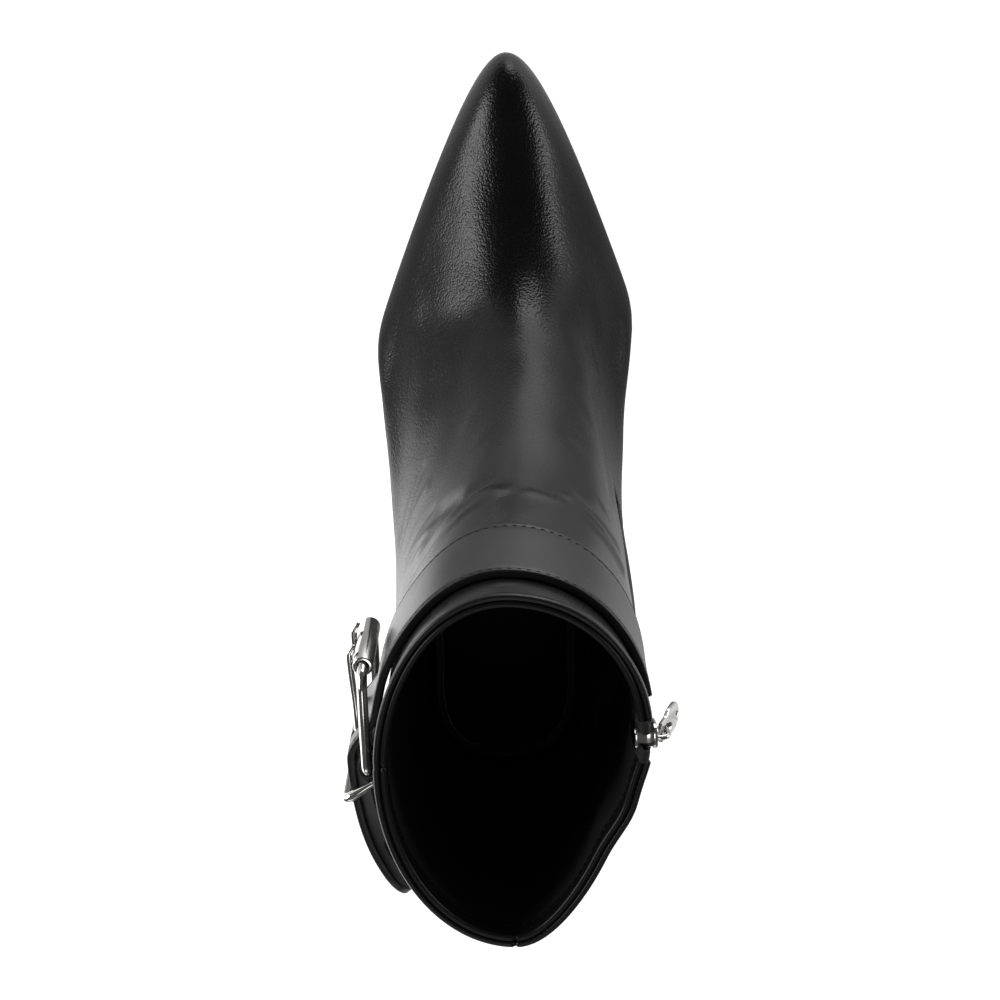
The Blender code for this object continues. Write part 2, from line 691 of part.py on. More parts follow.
def build_buckle_strap(material, buckle):
    lifts = [
        (ZIP_ANGLE, STRAP_LIFT),
        (2 * math.pi + BUCKLE_STRAP_LEAVES_ANGLE, STRAP_LIFT),
        (2 * math.pi + BUCKLE_STRAP_RAISED_ANGLE, BUCKLE_STRAP_LIFT),
    ]
    start = ZIP_ANGLE + ZIP_HALF_ANGLE + STRAP_END_GAP
    scale = mm_per_radian(HINGE_ANGLE, STRAP_MIDDLE)
    hinge = 2 * math.pi + HINGE_ANGLE
    eye_start = hinge - 2 * EYE_RADIUS / scale
    steps = round((eye_start - start) / STRAP_STEP)
    sections = []
    for angle in np.linspace(start, eye_start, steps):
        sections.append(strap_section(angle, blend(angle, lifts), STRAP_THICK, STRAP_HALF))
    for share in EYE_SHARES:
        angle = mix(eye_start, hinge, share)
        thick = mix(STRAP_THICK, 2 * EYE_RADIUS, float(ease(share)))
        sections.append(strap_section(angle, BUCKLE_STRAP_LIFT, thick, STRAP_HALF))
    for turn in EYE_TURNS:
        angle = hinge + EYE_RADIUS * math.sin(turn) / scale
        half = EYE_RADIUS * math.cos(turn)
        sections.append(strap_section(angle, HINGE_LIFT - half, 2 * half, STRAP_HALF))
    strap = loft("buckle_strap", sections, material)
    reach = STRAP_HALF + EYE_RADIUS
    hole = [buckle.at(0.0, -reach, 0.0), buckle.at(0.0, reach, 0.0)]
    boolean(strap, tube("bar_hole", hole, BAR_RADIUS + GAP, PUNCH_SIDES, material), "DIFFERENCE")
    corners = ((-1, -1), (1, -1), (1, 1), (-1, 1))
    deep = EYE_RADIUS + PRONG_EYE
    for spread in (-PRONG_SPREAD, PRONG_SPREAD):
        sections = []
        for along in (-EYE_RADIUS - PRONG_SLOT_OVER, EYE_RADIUS + PRONG_SLOT_OVER):
            sections.append(
                [buckle.at(along, spread + u * PRONG_SLOT / 2, n * deep) for u, n in corners]
            )
        boolean(strap, loft("prong_slot", sections, material), "DIFFERENCE")
    return strap


def buckle_place():
    """The buckle's own directions: at its hinge bar, along to the roller, up and outwards."""
    place = Place(STRAP_MIDDLE, HINGE_ANGLE, HINGE_LIFT)
    roller = skin_point(STRAP_MIDDLE, ROLLER_ANGLE, ROLLER_LIFT)
    low = skin_point(LEVEL["strap_low"], HINGE_ANGLE, HINGE_LIFT)
    high = skin_point(LEVEL["strap_high"], HINGE_ANGLE, HINGE_LIFT)
    place.up = (high - low).normalized()
    reach = roller - place.point
    reach -= place.up * reach.dot(place.up)
    place.length = reach.length
    place.along = reach.normalized()
    place.out = place.up.cross(place.along)
    return place


def rounded_loop(half_a, half_b, corners, steps=4):
    """A rounded rectangle as pairs, with the corner radius of its far and of its near end."""
    pairs = []
    for quarter in range(4):
        sign_a = (1, -1, -1, 1)[quarter]
        sign_b = (1, 1, -1, -1)[quarter]
        corner = corners[0] if sign_a > 0 else corners[1]
        for k in range(steps):
            turn = math.pi / 2 * (quarter + k / (steps - 1))
            a = sign_a * (half_a - corner) + corner * math.cos(turn)
            b = sign_b * (half_b - corner) + corner * math.sin(turn)
            pairs.append((a, b))
    return pairs


def build_buckle(metal, place):
    half_up = STRAP_HALF + FRAME_MARGIN + BAR_RADIUS
    half_along = place.length / 2
    loop = rounded_loop(half_along, half_up, FRAME_CORNERS)
    path = [place.at(half_along + a, b, 0.0) for a, b in loop]
    tube("buckle_frame", path, BAR_RADIUS, ROD_SIDES, metal, closed=True)

    half_roller = half_up - FRAME_CORNERS[0] - GAP
    rings = []
    for radius, up in (
        (ROLLER_RADIUS, -half_roller),
        (ROLLER_RADIUS, half_roller),
        (BAR_RADIUS + GAP, half_roller),
        (BAR_RADIUS + GAP, -half_roller),
    ):
        turns = [2 * math.pi * k / ROLLER_SIDES for k in range(ROLLER_SIDES)]
        rings.append(
            [place.at(place.length + radius * math.cos(t), up, radius * math.sin(t)) for t in turns]
        )
    roller = loft("buckle_roller", rings, metal, closed=True)
    set_origin(roller, place.at(place.length, 0.0, 0.0))

    wrap = BAR_RADIUS + GAP + PRONG_EYE
    over = ROLLER_RADIUS + GAP + PRONG_RADIUS
    for name, spread in (("buckle_prong_upper", PRONG_SPREAD), ("buckle_prong_lower", -PRONG_SPREAD)):
        turns = [math.radians(a) for a in PRONG_EYE_TURNS]
        path = [(wrap * math.cos(t), wrap * math.sin(t), PRONG_EYE) for t in turns]
        for step in PRONG:
            along = step.along + (place.length if step.from_roller else 0.0)
            height = mix(wrap, over, min(along / place.length, 1.0)) + step.over
            path.append((along, height, PRONG_RADIUS * step.radius))
        points = [place.at(a, spread, n) for a, n, _ in path]
        tube(name, points, [row[2] for row in path], ROD_SIDES, metal)

    keeper = Place(STRAP_MIDDLE, KEEPER_ANGLE)
    inner = KEEPER_CLEAR + KEEPER_INNER_RADIUS
    outer = OVER_LIFT + STRAP_THICK + KEEPER_ROOM + KEEPER_RADIUS
    half_up = STRAP_HALF + KEEPER_SIDE_GAP + KEEPER_RADIUS
    half_out = (outer - inner) / 2
    loop = rounded_loop(half_up, half_out, (KEEPER_CORNER, KEEPER_CORNER), 3)
    path = [keeper.at(-n * math.tan(KEEPER_TILT), b, inner + half_out + n) for b, n in loop]
    radii = [mix(KEEPER_INNER_RADIUS, KEEPER_RADIUS, (n / half_out + 1) / 2) for _, n in loop]
    tube("strap_keeper", path, radii, ROD_SIDES, metal, closed=True)


def set_origin(obj, point):
    """Move an object's origin to a point without moving the object."""
    origin = Vector(to_frame(point))
    obj.data.transform(Matrix.Translation(-origin))
    obj.location = origin


def build_zip(tape_material, metal):
    top = LEVEL["collar"] - ZIP_TOP_DROP
    low = LEVEL["instep"] + ZIP_END_GAP
    levels = np.linspace(low, top, ZIP_STEPS)
    sections = []
    for level in levels:
        scale = mm_per_radian(ZIP_ANGLE, level)
        edge = ZIP_HALF_ANGLE - TAPE_EDGE_GAP / scale
        chain = CHAIN_HALF / scale
        rows = [
            (-edge, -TAPE_DEPTH),
            (-chain, -TAPE_DEPTH),
            (-chain, CHAIN_RISE),
            (chain, CHAIN_RISE),
            (chain, -TAPE_DEPTH),
            (edge, -TAPE_DEPTH),
            (edge, -TAPE_DEPTH - TAPE_THICK),
            (-edge, -TAPE_DEPTH - TAPE_THICK),
        ]
        angles = ZIP_ANGLE + np.array([row[0] for row in rows])
        sections.append(skin([level], angles, np.array([row[1] for row in rows]))[0])
    loft("zip_chain", sections, tape_material)

    place = Place(LEVEL["collar"] - SLIDER_DROP, ZIP_ANGLE)
    half = SLIDER_LENGTH / 2
    bridge = SLIDER_DROP - ZIP_TOP_DROP + 3 * GAP
    profile = [
        (half, SLIDER_BACK),
        (half, SLIDER_FRONT),
        (-half, SLIDER_FRONT),
        (-half, SLIDER_FRONT - SLIDER_PLATE),
        (bridge, SLIDER_FRONT - SLIDER_PLATE),
        (bridge, SLIDER_BACK + SLIDER_PLATE),
        (-half, SLIDER_BACK + SLIDER_PLATE),
        (-half, SLIDER_BACK),
    ]
    sections = [[place.at(a, u, n) for u, n in profile] for a in (-SLIDER_WIDTH / 2, SLIDER_WIDTH / 2)]
    slider = loft("zip_slider", sections, metal)
    path = [place.at(0.0, step.up, SLIDER_FRONT + BAIL_RISE - step.drop) for step in BAIL]
    boolean(slider, tube("bail", path, BAIL_RADIUS, ROD_SIDES, metal), "UNION")

    hinge = place.at(0.0, PULL_AXIS_UP, SLIDER_FRONT + PULL_AXIS_RISE)
    down = place.out * math.sin(PULL_ANGLE) - place.up * math.cos(PULL_ANGLE)
    face = place.out * math.cos(PULL_ANGLE) + place.up * math.sin(PULL_ANGLE)
    bar = PULL_THICK / 2
    outline = [(-PULL_NECK / 2, -bar), (PULL_NECK / 2, -bar), (PULL_NECK / 2, PULL_SHOULDER)]
    end = PULL_LENGTH - PULL_WIDTH / 2
    for k in range(PULL_END_STEPS + 1):
        turn = math.pi * k / PULL_END_STEPS
        outline.append((PULL_WIDTH / 2 * math.cos(turn), end + PULL_WIDTH / 2 * math.sin(turn)))
    outline.append((-PULL_NECK / 2, PULL_SHOULDER))
    sections = []
    for n in (-bar, bar):
        sections.append([hinge + place.along * a + down * p + face * n for a, p in outline])
    pull = loft("zip_pull", sections, metal)
    half = PULL_HOLE_WIDTH / 2
    corners = ((-half, bar), (half, bar), (half, bar + PULL_HOLE), (-half, bar + PULL_HOLE))
    sections = []
    for n in (-PULL_THICK, PULL_THICK):
        sections.append([hinge + place.along * a + down * p + face * n for a, p in corners])
    boolean(pull, loft("pull_hole", sections, metal), "DIFFERENCE")
    set_origin(pull, hinge)


def main():
    clear_scene()
    leather = make_material("black_leather", (0.012, 0.012, 0.013), 0.38)
    heel_cover = make_material("heel_cover", (0.012, 0.012, 0.013), 0.30)
    outsole = make_material("sole_rubber", (0.020, 0.020, 0.020), 0.60)
    insole = make_material("insole_lining", (0.015, 0.015, 0.016), 0.80)
    tip = make_material("tip_rubber", (0.015, 0.015, 0.015), 0.55)
    metal = make_material("nickel_metal", (0.55, 0.54, 0.52), 0.22, 1.0)
    tape = make_material("zip_tape", (0.012, 0.012, 0.012), 0.75)
    build_upper(leather)
    build_sole(outsole, insole)
    build_heel(heel_cover, tip)
    buckle = buckle_place()
    build_ankle_strap(leather, buckle)
    build_buckle_strap(leather, buckle)
    build_buckle(metal, buckle)
    build_zip(tape, metal)


main()
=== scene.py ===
import math
from collections import namedtuple

import bmesh
import bpy
import numpy as np
from mathutils import Matrix, Vector


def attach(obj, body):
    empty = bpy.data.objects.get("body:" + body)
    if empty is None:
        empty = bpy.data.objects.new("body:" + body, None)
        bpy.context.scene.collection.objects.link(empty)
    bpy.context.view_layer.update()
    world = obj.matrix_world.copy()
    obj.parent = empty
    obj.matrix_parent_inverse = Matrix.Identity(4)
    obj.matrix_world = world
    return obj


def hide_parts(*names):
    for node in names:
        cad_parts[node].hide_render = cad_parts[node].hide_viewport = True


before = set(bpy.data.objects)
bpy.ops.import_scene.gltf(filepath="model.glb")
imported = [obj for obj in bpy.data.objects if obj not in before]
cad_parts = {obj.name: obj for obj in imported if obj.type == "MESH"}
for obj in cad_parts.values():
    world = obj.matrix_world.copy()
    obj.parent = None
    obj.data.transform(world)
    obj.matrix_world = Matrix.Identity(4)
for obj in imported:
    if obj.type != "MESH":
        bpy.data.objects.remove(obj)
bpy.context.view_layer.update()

MM = 0.001
ORIGIN = np.array([114.9, -1.2, 0.0])

# Sizes shared with the solids, in millimetres and radians round the boot from its back
LENGTH = 230.0
HEEL_HEIGHT = 85.0
BALL_HALF = 40.7
COLLAR_HALF = 40.4
COLLAR_FRONT_HEIGHT = 236.0
COLLAR_BACK_HEIGHT = 229.0
WALL = 2.2
GAP = 0.3
RIDGE_FROM = 0.55
SOLE_THICK = 3.0
SOLE_INSET = 0.7
SOLE_BEVEL = 0.9
SOLE_END_ANGLE = 0.07
INSOLE_THICK = 2.0
INSOLE_CLEAR = 1.7
INSOLE_BACK_ANGLE = 0.22
INSOLE_FRONT_ANGLE = 0.30
FEATHER_BACK = HEEL_HEIGHT + SOLE_THICK + GAP
TIP_HEIGHT = 5.5
ZIP_ANGLE = 4.523
ZIP_HALF_ANGLE = 0.083
ZIP_TOP_DROP = 6.0
ZIP_END_GAP = 1.2
TAPE_DEPTH = 0.9
TAPE_THICK = 1.0
CHAIN_HALF = 2.6
SLIDER_DROP = 7.0
SLIDER_LENGTH = 10.0
SLIDER_WIDTH = 7.4
SLIDER_FRONT = 2.2
SLIDER_BACK = -4.8
SLIDER_PLATE = 1.5
BAIL_RADIUS = 0.8
BAIL_RISE = 3.4
PULL_AXIS_RISE = 1.35
PULL_AXIS_UP = 0.6
PULL_LENGTH = 17.0
PULL_WIDTH = 8.6
PULL_NECK = 6.0
PULL_THICK = 1.4
PULL_HOLE = 4.4
PULL_HOLE_WIDTH = 2.8
PULL_ANGLE = math.radians(24.0)
STRAP_THICK = 2.8
STRAP_LIFT = 0.4
STRAP_END_GAP = 0.045
STRAP_TIP_ANGLE = 0.67
STRAP_TIP_ROUND = 9.0
STRAP_TIP_BOW = 0.95
STRAP_LEAVES_ANGLE = 2.45
TAIL_SETTLE_ANGLE = 0.90
KEEPER_ANGLE = 1.375
HINGE_ANGLE = 1.46
ROLLER_ANGLE = 2.01
RISE_FRONT_ANGLE = 1.80
RISE_REAR_ANGLE = 1.50
BAR_RADIUS = 1.5
ROLLER_RADIUS = 3.1
ROLLER_LIFT = 9.2
FOLD_THICK = 0.9
KEEPER_INNER_RADIUS = 0.55
KEEPER_CLEAR = 0.4
BUCKLE_STRAP_LIFT = KEEPER_CLEAR + 2 * KEEPER_INNER_RADIUS + GAP
BUCKLE_STRAP_LEAVES_ANGLE = 0.15
BUCKLE_STRAP_RAISED_ANGLE = 1.00
HINGE_LIFT = BUCKLE_STRAP_LIFT + FOLD_THICK + GAP + BAR_RADIUS
EYE_RADIUS = BAR_RADIUS + GAP + FOLD_THICK
OVER_LIFT = HINGE_LIFT + EYE_RADIUS + 2 * GAP
UNDER_LIFT = 0.9
TAIL_LIFT = 8.6
FRAME_MARGIN = 1.2
FRAME_CORNERS = (5.8, 3.6)
PRONG_RADIUS = 1.1
PRONG_EYE = 0.6
PRONG_SPREAD = 8.5
PRONG_SLOT = 3.6
PRONG_SLOT_OVER = 1.4
PRONG_EYE_TURN = (-75.0, -250.0)
PRONG_EYE_STEPS = 12
HOLE_LENGTH = 9.5
HOLE_WIDTH = 3.6
HOLE_AT = 7.4
HOLE_PITCH = 13.5
TAIL_HOLES = 2
TAIL_HOLE_START = 9.0
KEEPER_RADIUS = 1.1
KEEPER_CORNER = 2.4
KEEPER_ROOM = 0.8
KEEPER_TILT = math.radians(25.0)
KEEPER_SIDE_GAP = 0.8

ProngStep = namedtuple("ProngStep", "from_roller along over radius")
PRONG = [
    ProngStep(False, 1.5, 0.0, 0.55),
    ProngStep(False, 4.5, 0.0, 0.90),
    ProngStep(False, 16.0, 0.0, 1.00),
    ProngStep(True, -1.0, 0.1, 1.00),
    ProngStep(True, 2.0, -0.3, 0.90),
    ProngStep(True, 3.6, -1.4, 0.60),
]
BailStep = namedtuple("BailStep", "up drop")
BAIL = [
    BailStep(4.0, 4.2),
    BailStep(4.0, 1.2),
    BailStep(3.2, 0.3),
    BailStep(2.2, 0.0),
    BailStep(-1.0, 0.0),
    BailStep(-2.0, 0.3),
    BailStep(-2.8, 1.2),
    BailStep(-2.8, 4.2),
]
Station = namedtuple("Station", "x z")
BOTTOM = [
    Station(5.0, FEATHER_BACK),
    Station(44.0, FEATHER_BACK - 6.5),
    Station(84.0, 55.0),
    Station(122.0, 19.0),
    Station(148.0, 5.2),
    Station(168.0, 3.1),
    Station(186.0, 3.1),
    Station(LENGTH - 1.8, 9.2),
]
Ring = namedtuple("Ring", "name front_x front_z front_y back_x back_z back_y arch")
RINGS = [
    Ring("feather", LENGTH - 1.8, 9.2, 0.0, 5.0, FEATHER_BACK, 0.0, 1.00),
    Ring("overhang", LENGTH, 14.0, 0.0, 2.0, 94.0, 0.0, 1.00),
    Ring("toe_roof", LENGTH - 5.5, 22.5, -0.3, 0.5, 99.5, 0.0, 0.93),
    Ring("toe_top", 209.0, 29.0, -1.2, 0.0, 105.0, 0.0, 0.80),
    Ring("vamp", 190.0, 36.0, -2.6, 0.0, 111.0, 0.0, 0.64),
    Ring("vamp_top", 171.0, 46.0, -4.2, 0.5, 118.0, 0.0, 0.46),
    Ring("instep", 152.5, 64.0, -5.6, 1.4, 126.0, 0.0, 0.30),
    Ring("instep_top", 136.5, 91.0, -5.8, 2.8, 136.0, -0.4, 0.15),
    Ring("ankle", 124.0, 124.0, -4.4, 4.6, 150.0, -0.8, 0.04),
    Ring("ankle_top", 118.8, 153.0, -2.6, 5.6, 163.0, -1.2, 0.00),
    Ring("strap_low", 116.5, 181.0, -1.2, 5.4, 176.5, -1.6, 0.00),
    Ring("strap_high", 114.5, 219.0, 0.0, 2.8, 213.5, -2.4, 0.00),
    Ring("collar", 114.8, COLLAR_FRONT_HEIGHT, 0.0, 0.6, COLLAR_BACK_HEIGHT, -2.8, 0.00),
]
Width = namedtuple("Width", "heel_at heel waist ball_at ball seat tail nose")
OUTER = [
    Width(0.13, 24.8, 27.0, 0.620, 37.4, 0.06, 50.0, 0.20),
    Width(0.13, 28.0, 32.0, 0.620, 40.2, 0.06, 50.0, 0.20),
    Width(0.14, 29.4, 33.8, 0.618, BALL_HALF, 0.06, 50.0, 0.24),
    Width(0.15, 30.2, 34.4, 0.610, 39.4, 0.07, 50.0, 0.48),
    Width(0.16, 31.0, 34.4, 0.598, 38.2, 0.08, 50.0, 1.00),
    Width(0.18, 31.8, 34.2, 0.580, 36.8, 0.11, 50.0, 2.00),
    Width(0.22, 32.6, 34.2, 0.550, 35.7, 0.16, 50.0, 3.20),
    Width(0.28, 33.4, 34.8, 0.530, 35.5, 0.30, 50.0, 6.00),
    Width(0.36, 34.6, 35.4, 0.510, 35.8, 0.80, 50.0, 20.0),
    Width(0.40, 35.2, 35.7, 0.500, 36.0, 5.00, 50.0, 50.0),
    Width(0.40, 36.0, 36.6, 0.500, 36.8, 50.0, 50.0, 50.0),
    Width(0.40, 38.2, 38.8, 0.500, 39.0, 50.0, 50.0, 50.0),
    Width(0.40, 39.6, 40.2, 0.500, COLLAR_HALF, 50.0, 50.0, 50.0),
]
INNER = [
    Width(0.13, 24.8, 22.5, 0.660, 37.2, 0.06, 50.0, 0.22),
    Width(0.13, 28.0, 28.2, 0.660, 39.6, 0.06, 50.0, 0.22),
    Width(0.14, 29.4, 31.2, 0.655, 39.8, 0.06, 50.0, 0.25),
    Width(0.15, 30.0, 33.0, 0.648, 38.6, 0.07, 50.0, 0.44),
    Width(0.16, 30.6, 34.4, 0.635, 37.4, 0.08, 50.0, 0.85),
    Width(0.18, 31.2, 35.6, 0.615, 36.9, 0.11, 40.0, 1.60),
    Width(0.22, 31.6, 36.8, 0.600, 37.4, 0.16, 20.0, 3.20),
    Width(0.26, 31.8, 38.3, 0.600, 39.0, 0.30, 8.0, 5.00),
    Width(0.28, 31.6, 39.0, 0.600, 40.3, 0.80, 3.0, 6.00),
    Width(0.28, 31.0, 38.5, 0.600, 40.2, 5.00, 1.2, 5.00),
    Width(0.26, 29.4, 37.4, 0.600, 39.4, 50.0, 0.6, 4.00),
    Width(0.25, 27.4, 36.8, 0.600, 40.4, 50.0, 0.3, 3.00),
    Width(0.24, 26.4, 37.0, 0.600, 41.8, 50.0, 0.2, 3.00),
]
HeelSection = namedtuple("HeelSection", "share back front half seat")
HEEL = [
    HeelSection(1.00, 6.8, 57.0, 23.0, 1.00),
    HeelSection(0.94, 6.6, 51.5, 22.2, 0.95),
    HeelSection(0.86, 7.4, 45.8, 19.6, 0.85),
    HeelSection(0.75, 9.8, 40.8, 15.6, 0.60),
    HeelSection(0.61, 13.4, 37.0, 11.6, 0.35),
    HeelSection(0.44, 16.8, 34.4, 8.6, 0.15),
    HeelSection(0.25, 19.0, 33.0, 6.9, 0.00),
    HeelSection(0.08, 20.0, 32.6, 6.3, 0.00),
    HeelSection(0.00, 20.2, 32.6, 6.2, 0.00),
]

# Leather folds: height, half width, and points as angles round the boot and levels up it
Fold = namedtuple("Fold", "height width path")
FOLDS = [
    # the crease over the ankle bend: a trough with a ridge under each arm
    Fold(0.95, 3.6, ((1.86, 112.0), (1.99, 116.5), (2.15, 123.2), (2.33, 130.2), (2.54, 138.6),
                     (2.68, 142.0), (2.78, 142.0), (2.90, 141.3), (3.00, 140.6), (3.12, 140.0))),
    Fold(-1.05, 4.8, ((2.12, 107.0), (2.30, 115.0), (2.47, 121.7), (2.64, 126.9), (2.82, 130.9),
                      (3.02, 133.2), (3.24, 133.0))),
    Fold(1.00, 2.6, ((3.28, 134.0), (3.38, 135.4), (3.48, 136.7), (3.62, 136.7), (3.77, 133.9), (3.91, 129.0),
                     (4.04, 122.5))),
    Fold(-0.55, 4.6, ((3.40, 128.5), (3.55, 129.0), (3.70, 127.0), (3.84, 122.0), (3.95, 115.0))),
    # wrinkles round the outer side, below the buckle
    Fold(-0.40, 2.7, ((1.55, 78.5), (1.70, 77.8), (1.83, 77.0), (1.94, 76.5), (2.06, 77.5))),
    Fold(0.42, 2.8, ((1.50, 84.0), (1.68, 84.5), (1.84, 85.5), (1.98, 87.0), (2.12, 90.0))),
    Fold(-0.50, 2.6, ((1.52, 96.5), (1.70, 97.6), (1.85, 98.7), (1.99, 100.6), (2.10, 103.0), (2.22, 107.0))),
    Fold(0.50, 2.7, ((1.48, 102.0), (1.66, 103.5), (1.82, 105.5), (1.97, 108.5), (2.10, 112.5),
                     (2.24, 118.0))),
    Fold(-0.45, 2.6, ((1.50, 112.0), (1.66, 113.5), (1.82, 116.5), (1.97, 121.5), (2.12, 129.0))),
    Fold(0.45, 2.9, ((1.52, 121.0), (1.68, 123.0), (1.83, 127.0), (1.97, 133.0), (2.10, 141.0))),
    # soft folds on the inner side in front of the zip
    Fold(0.55, 3.6, ((4.22, 60.0), (4.27, 72.0), (4.29, 86.0), (4.27, 100.0))),
    Fold(-0.50, 4.2, ((4.13, 66.0), (4.16, 80.0), (4.15, 96.0), (4.10, 108.0))),
    Fold(-0.60, 6.0, ((3.93, 80.0), (3.72, 95.0), (3.57, 108.0))),
    Fold(0.45, 5.5, ((2.42, 84.0), (2.60, 96.0), (2.74, 108.0))),
    # the full inner side of the vamp, and the flat where the vamp meets the instep
    Fold(0.75, 12.0, ((3.62, 30.0), (3.82, 32.0), (3.98, 34.0), (4.08, 40.0), (4.12, 50.0))),
    Fold(-0.75, 9.0, ((3.25, 50.0), (3.26, 58.0), (3.26, 66.0), (3.25, 74.0), (3.24, 84.0))),
    # the step behind the ball of the foot, on either side of the instep
    Fold(-0.75, 7.0, ((1.98, 29.0), (2.15, 41.0), (2.32, 50.0), (2.50, 58.5), (2.72, 66.0), (2.90, 69.0))),
    Fold(0.75, 7.0, ((1.94, 42.0), (2.12, 53.0), (2.30, 62.0), (2.48, 70.5), (2.70, 78.5), (2.88, 82.0))),
    Fold(-0.70, 7.0, ((3.40, 69.0), (3.56, 66.0), (3.72, 61.5), (3.87, 54.5), (4.04, 46.0), (4.20, 35.0))),
    Fold(0.70, 7.0, ((3.42, 81.0), (3.55, 78.5), (3.72, 74.0), (3.88, 67.0), (4.06, 58.0), (4.22, 47.0))),
    # the bend behind the ankle
    Fold(-0.60, 4.5, ((0.22, 122.0), (0.42, 127.0), (0.75, 126.0), (1.02, 119.0))),
    Fold(0.45, 4.5, ((0.20, 131.0), (0.45, 136.0), (0.80, 135.0), (1.08, 128.0))),
    Fold(-0.55, 4.5, ((5.02, 118.0), (5.35, 126.0), (5.70, 128.0), (6.02, 122.0))),
    Fold(0.40, 4.5, ((5.00, 128.0), (5.35, 135.0), (5.72, 137.0), (6.05, 131.0))),
]

# Slow waves of the leather: length in millimetres, height, and the direction of the wave
Wave = namedtuple("Wave", "length height x y z")
WAVES = [
    Wave(31.0, 0.10, 0.81, 0.33, 0.48),
    Wave(23.0, 0.08, -0.35, 0.72, 0.60),
    Wave(17.0, 0.06, 0.55, -0.62, 0.56),
    Wave(41.0, 0.12, 0.15, 0.28, -0.95),
]


def bend_matrix(knots):
    """Second derivatives of a natural cubic spline, from the values at its knots."""
    count = len(knots)
    steps = np.diff(knots)
    system = np.eye(count)
    target = np.zeros((count, count))
    for i in range(1, count - 1):
        before, after = steps[i - 1], steps[i]
        system[i, i - 1:i + 2] = before, 2 * (before + after), after
        target[i, i - 1:i + 2] = 6 / before, -6 / before - 6 / after, 6 / after
    return np.linalg.solve(system, target)


def read_spline(knots, values, positions, columns=None):
    """A natural cubic spline through values at positions, from one column of the values for each."""
    knots = np.asarray(knots, float)
    bends = np.tensordot(bend_matrix(knots), values, 1)
    i = np.clip(np.searchsorted(knots, positions) - 1, 0, len(knots) - 2)
    low = i if columns is None else (i, columns)
    high = i + 1 if columns is None else (i + 1, columns)
    shape = (-1,) + (1,) * (np.ndim(values[low]) - 1)
    step = np.diff(knots)[i].reshape(shape)
    b = (positions - knots[i]).reshape(shape) / step
    a = 1 - b
    curve = ((a**3 - a) * bends[low] + (b**3 - b) * bends[high]) * step**2 / 6
    return a * values[low] + b * values[high] + curve


def bottom_z(x):
    knots = np.array([row.x for row in BOTTOM])
    heights = np.array([row.z for row in BOTTOM])
    return read_spline(knots, heights, np.asarray(x, float))


def ease(share):
    share = np.clip(share, 0, 1)
    return share**3 * (share * (6 * share - 15) + 10)


def mix(a, b, share):
    return a + (b - a) * share


def bump(distance, width):
    """A smooth hump that falls off with distance."""
    return np.exp(-((distance / width) ** 2))


# Rounded edges: steps of a quarter turn, turn of a bar's round end, and angles from which edges look sharp
ARC_STEPS = 5
CAP_TURN = 0.97
SHARP = 45.0
SHELL_SHARP = 60.0


def round_off(into, radius):
    """How far a rounded edge falls away, by how far a point is into its radius."""
    return radius - np.sqrt(radius**2 - into**2)


def half_width(row, along):
    def ends(at):
        front = 1 - at
        seat = (1 - np.exp(-at / row.seat)) / (1 - math.exp(-1 / row.seat))
        tail = seat * (at + 2 * row.tail) / (1 + 2 * row.tail)
        nose = (front**2 + 2 * row.nose * front) / (1 + 2 * row.nose)
        return np.sqrt(np.maximum(tail * nose, 0))

    waist_at = (row.heel_at + row.ball_at) / 2
    heel = row.heel / ends(row.heel_at)
    waist = row.waist / ends(waist_at)
    ball = row.ball / ends(row.ball_at)
    to_waist = ease((along - row.heel_at) / (waist_at - row.heel_at))
    to_ball = ease((along - waist_at) / (row.ball_at - waist_at))
    return (heel + (waist - heel) * to_waist + (ball - waist) * to_ball) * ends(along)


def ring_points(index, angles):
    ring = RINGS[index]
    feather = RINGS[0]
    along = (1 - np.cos(angles)) / 2
    sole_x = mix(feather.back_x, feather.front_x, along)
    sag = bottom_z(sole_x) - mix(feather.back_z, feather.front_z, along)
    x = mix(ring.back_x, ring.front_x, along)
    z = mix(ring.back_z, ring.front_z, along) + ring.arch * sag
    outer = half_width(OUTER[index], along)
    inner = half_width(INNER[index], along)
    shift = ring.front_y * ease((along - RIDGE_FROM) / (1 - RIDGE_FROM)) + ring.back_y * (1 - along)
    y = np.where(np.sin(angles) >= 0, outer, -inner) + shift
    return np.stack([x, y, z], axis=-1)


# Columns that the steps between rings are averaged over
RING_COLUMNS = 48


def ring_levels():
    angles = np.linspace(0, 2 * math.pi, RING_COLUMNS, endpoint=False)
    rings = np.stack([ring_points(i, angles) for i in range(len(RINGS))])
    steps = np.linalg.norm(np.diff(rings, axis=0), axis=-1).mean(axis=1)
    return np.concatenate([[0.0], np.cumsum(steps)])


LEVELS = ring_levels()
LEVEL = {ring.name: level for ring, level in zip(RINGS, LEVELS)}
COLLAR = LEVEL["collar"]
STRAP_MIDDLE = (LEVEL["strap_low"] + LEVEL["strap_high"]) / 2
STRAP_HALF = (LEVEL["strap_high"] - LEVEL["strap_low"]) / 2
AROUND_PROBE = 0.02
UP_PROBE = 0.2


def sheet(level, angle):
    """Points of the upper's outer surface for flat arrays of levels and angles."""
    rings = np.stack([ring_points(i, angle) for i in range(len(RINGS))])
    return read_spline(LEVELS, rings, level, np.arange(len(level)))


def unit(vectors):
    return vectors / np.linalg.norm(vectors, axis=-1, keepdims=True)


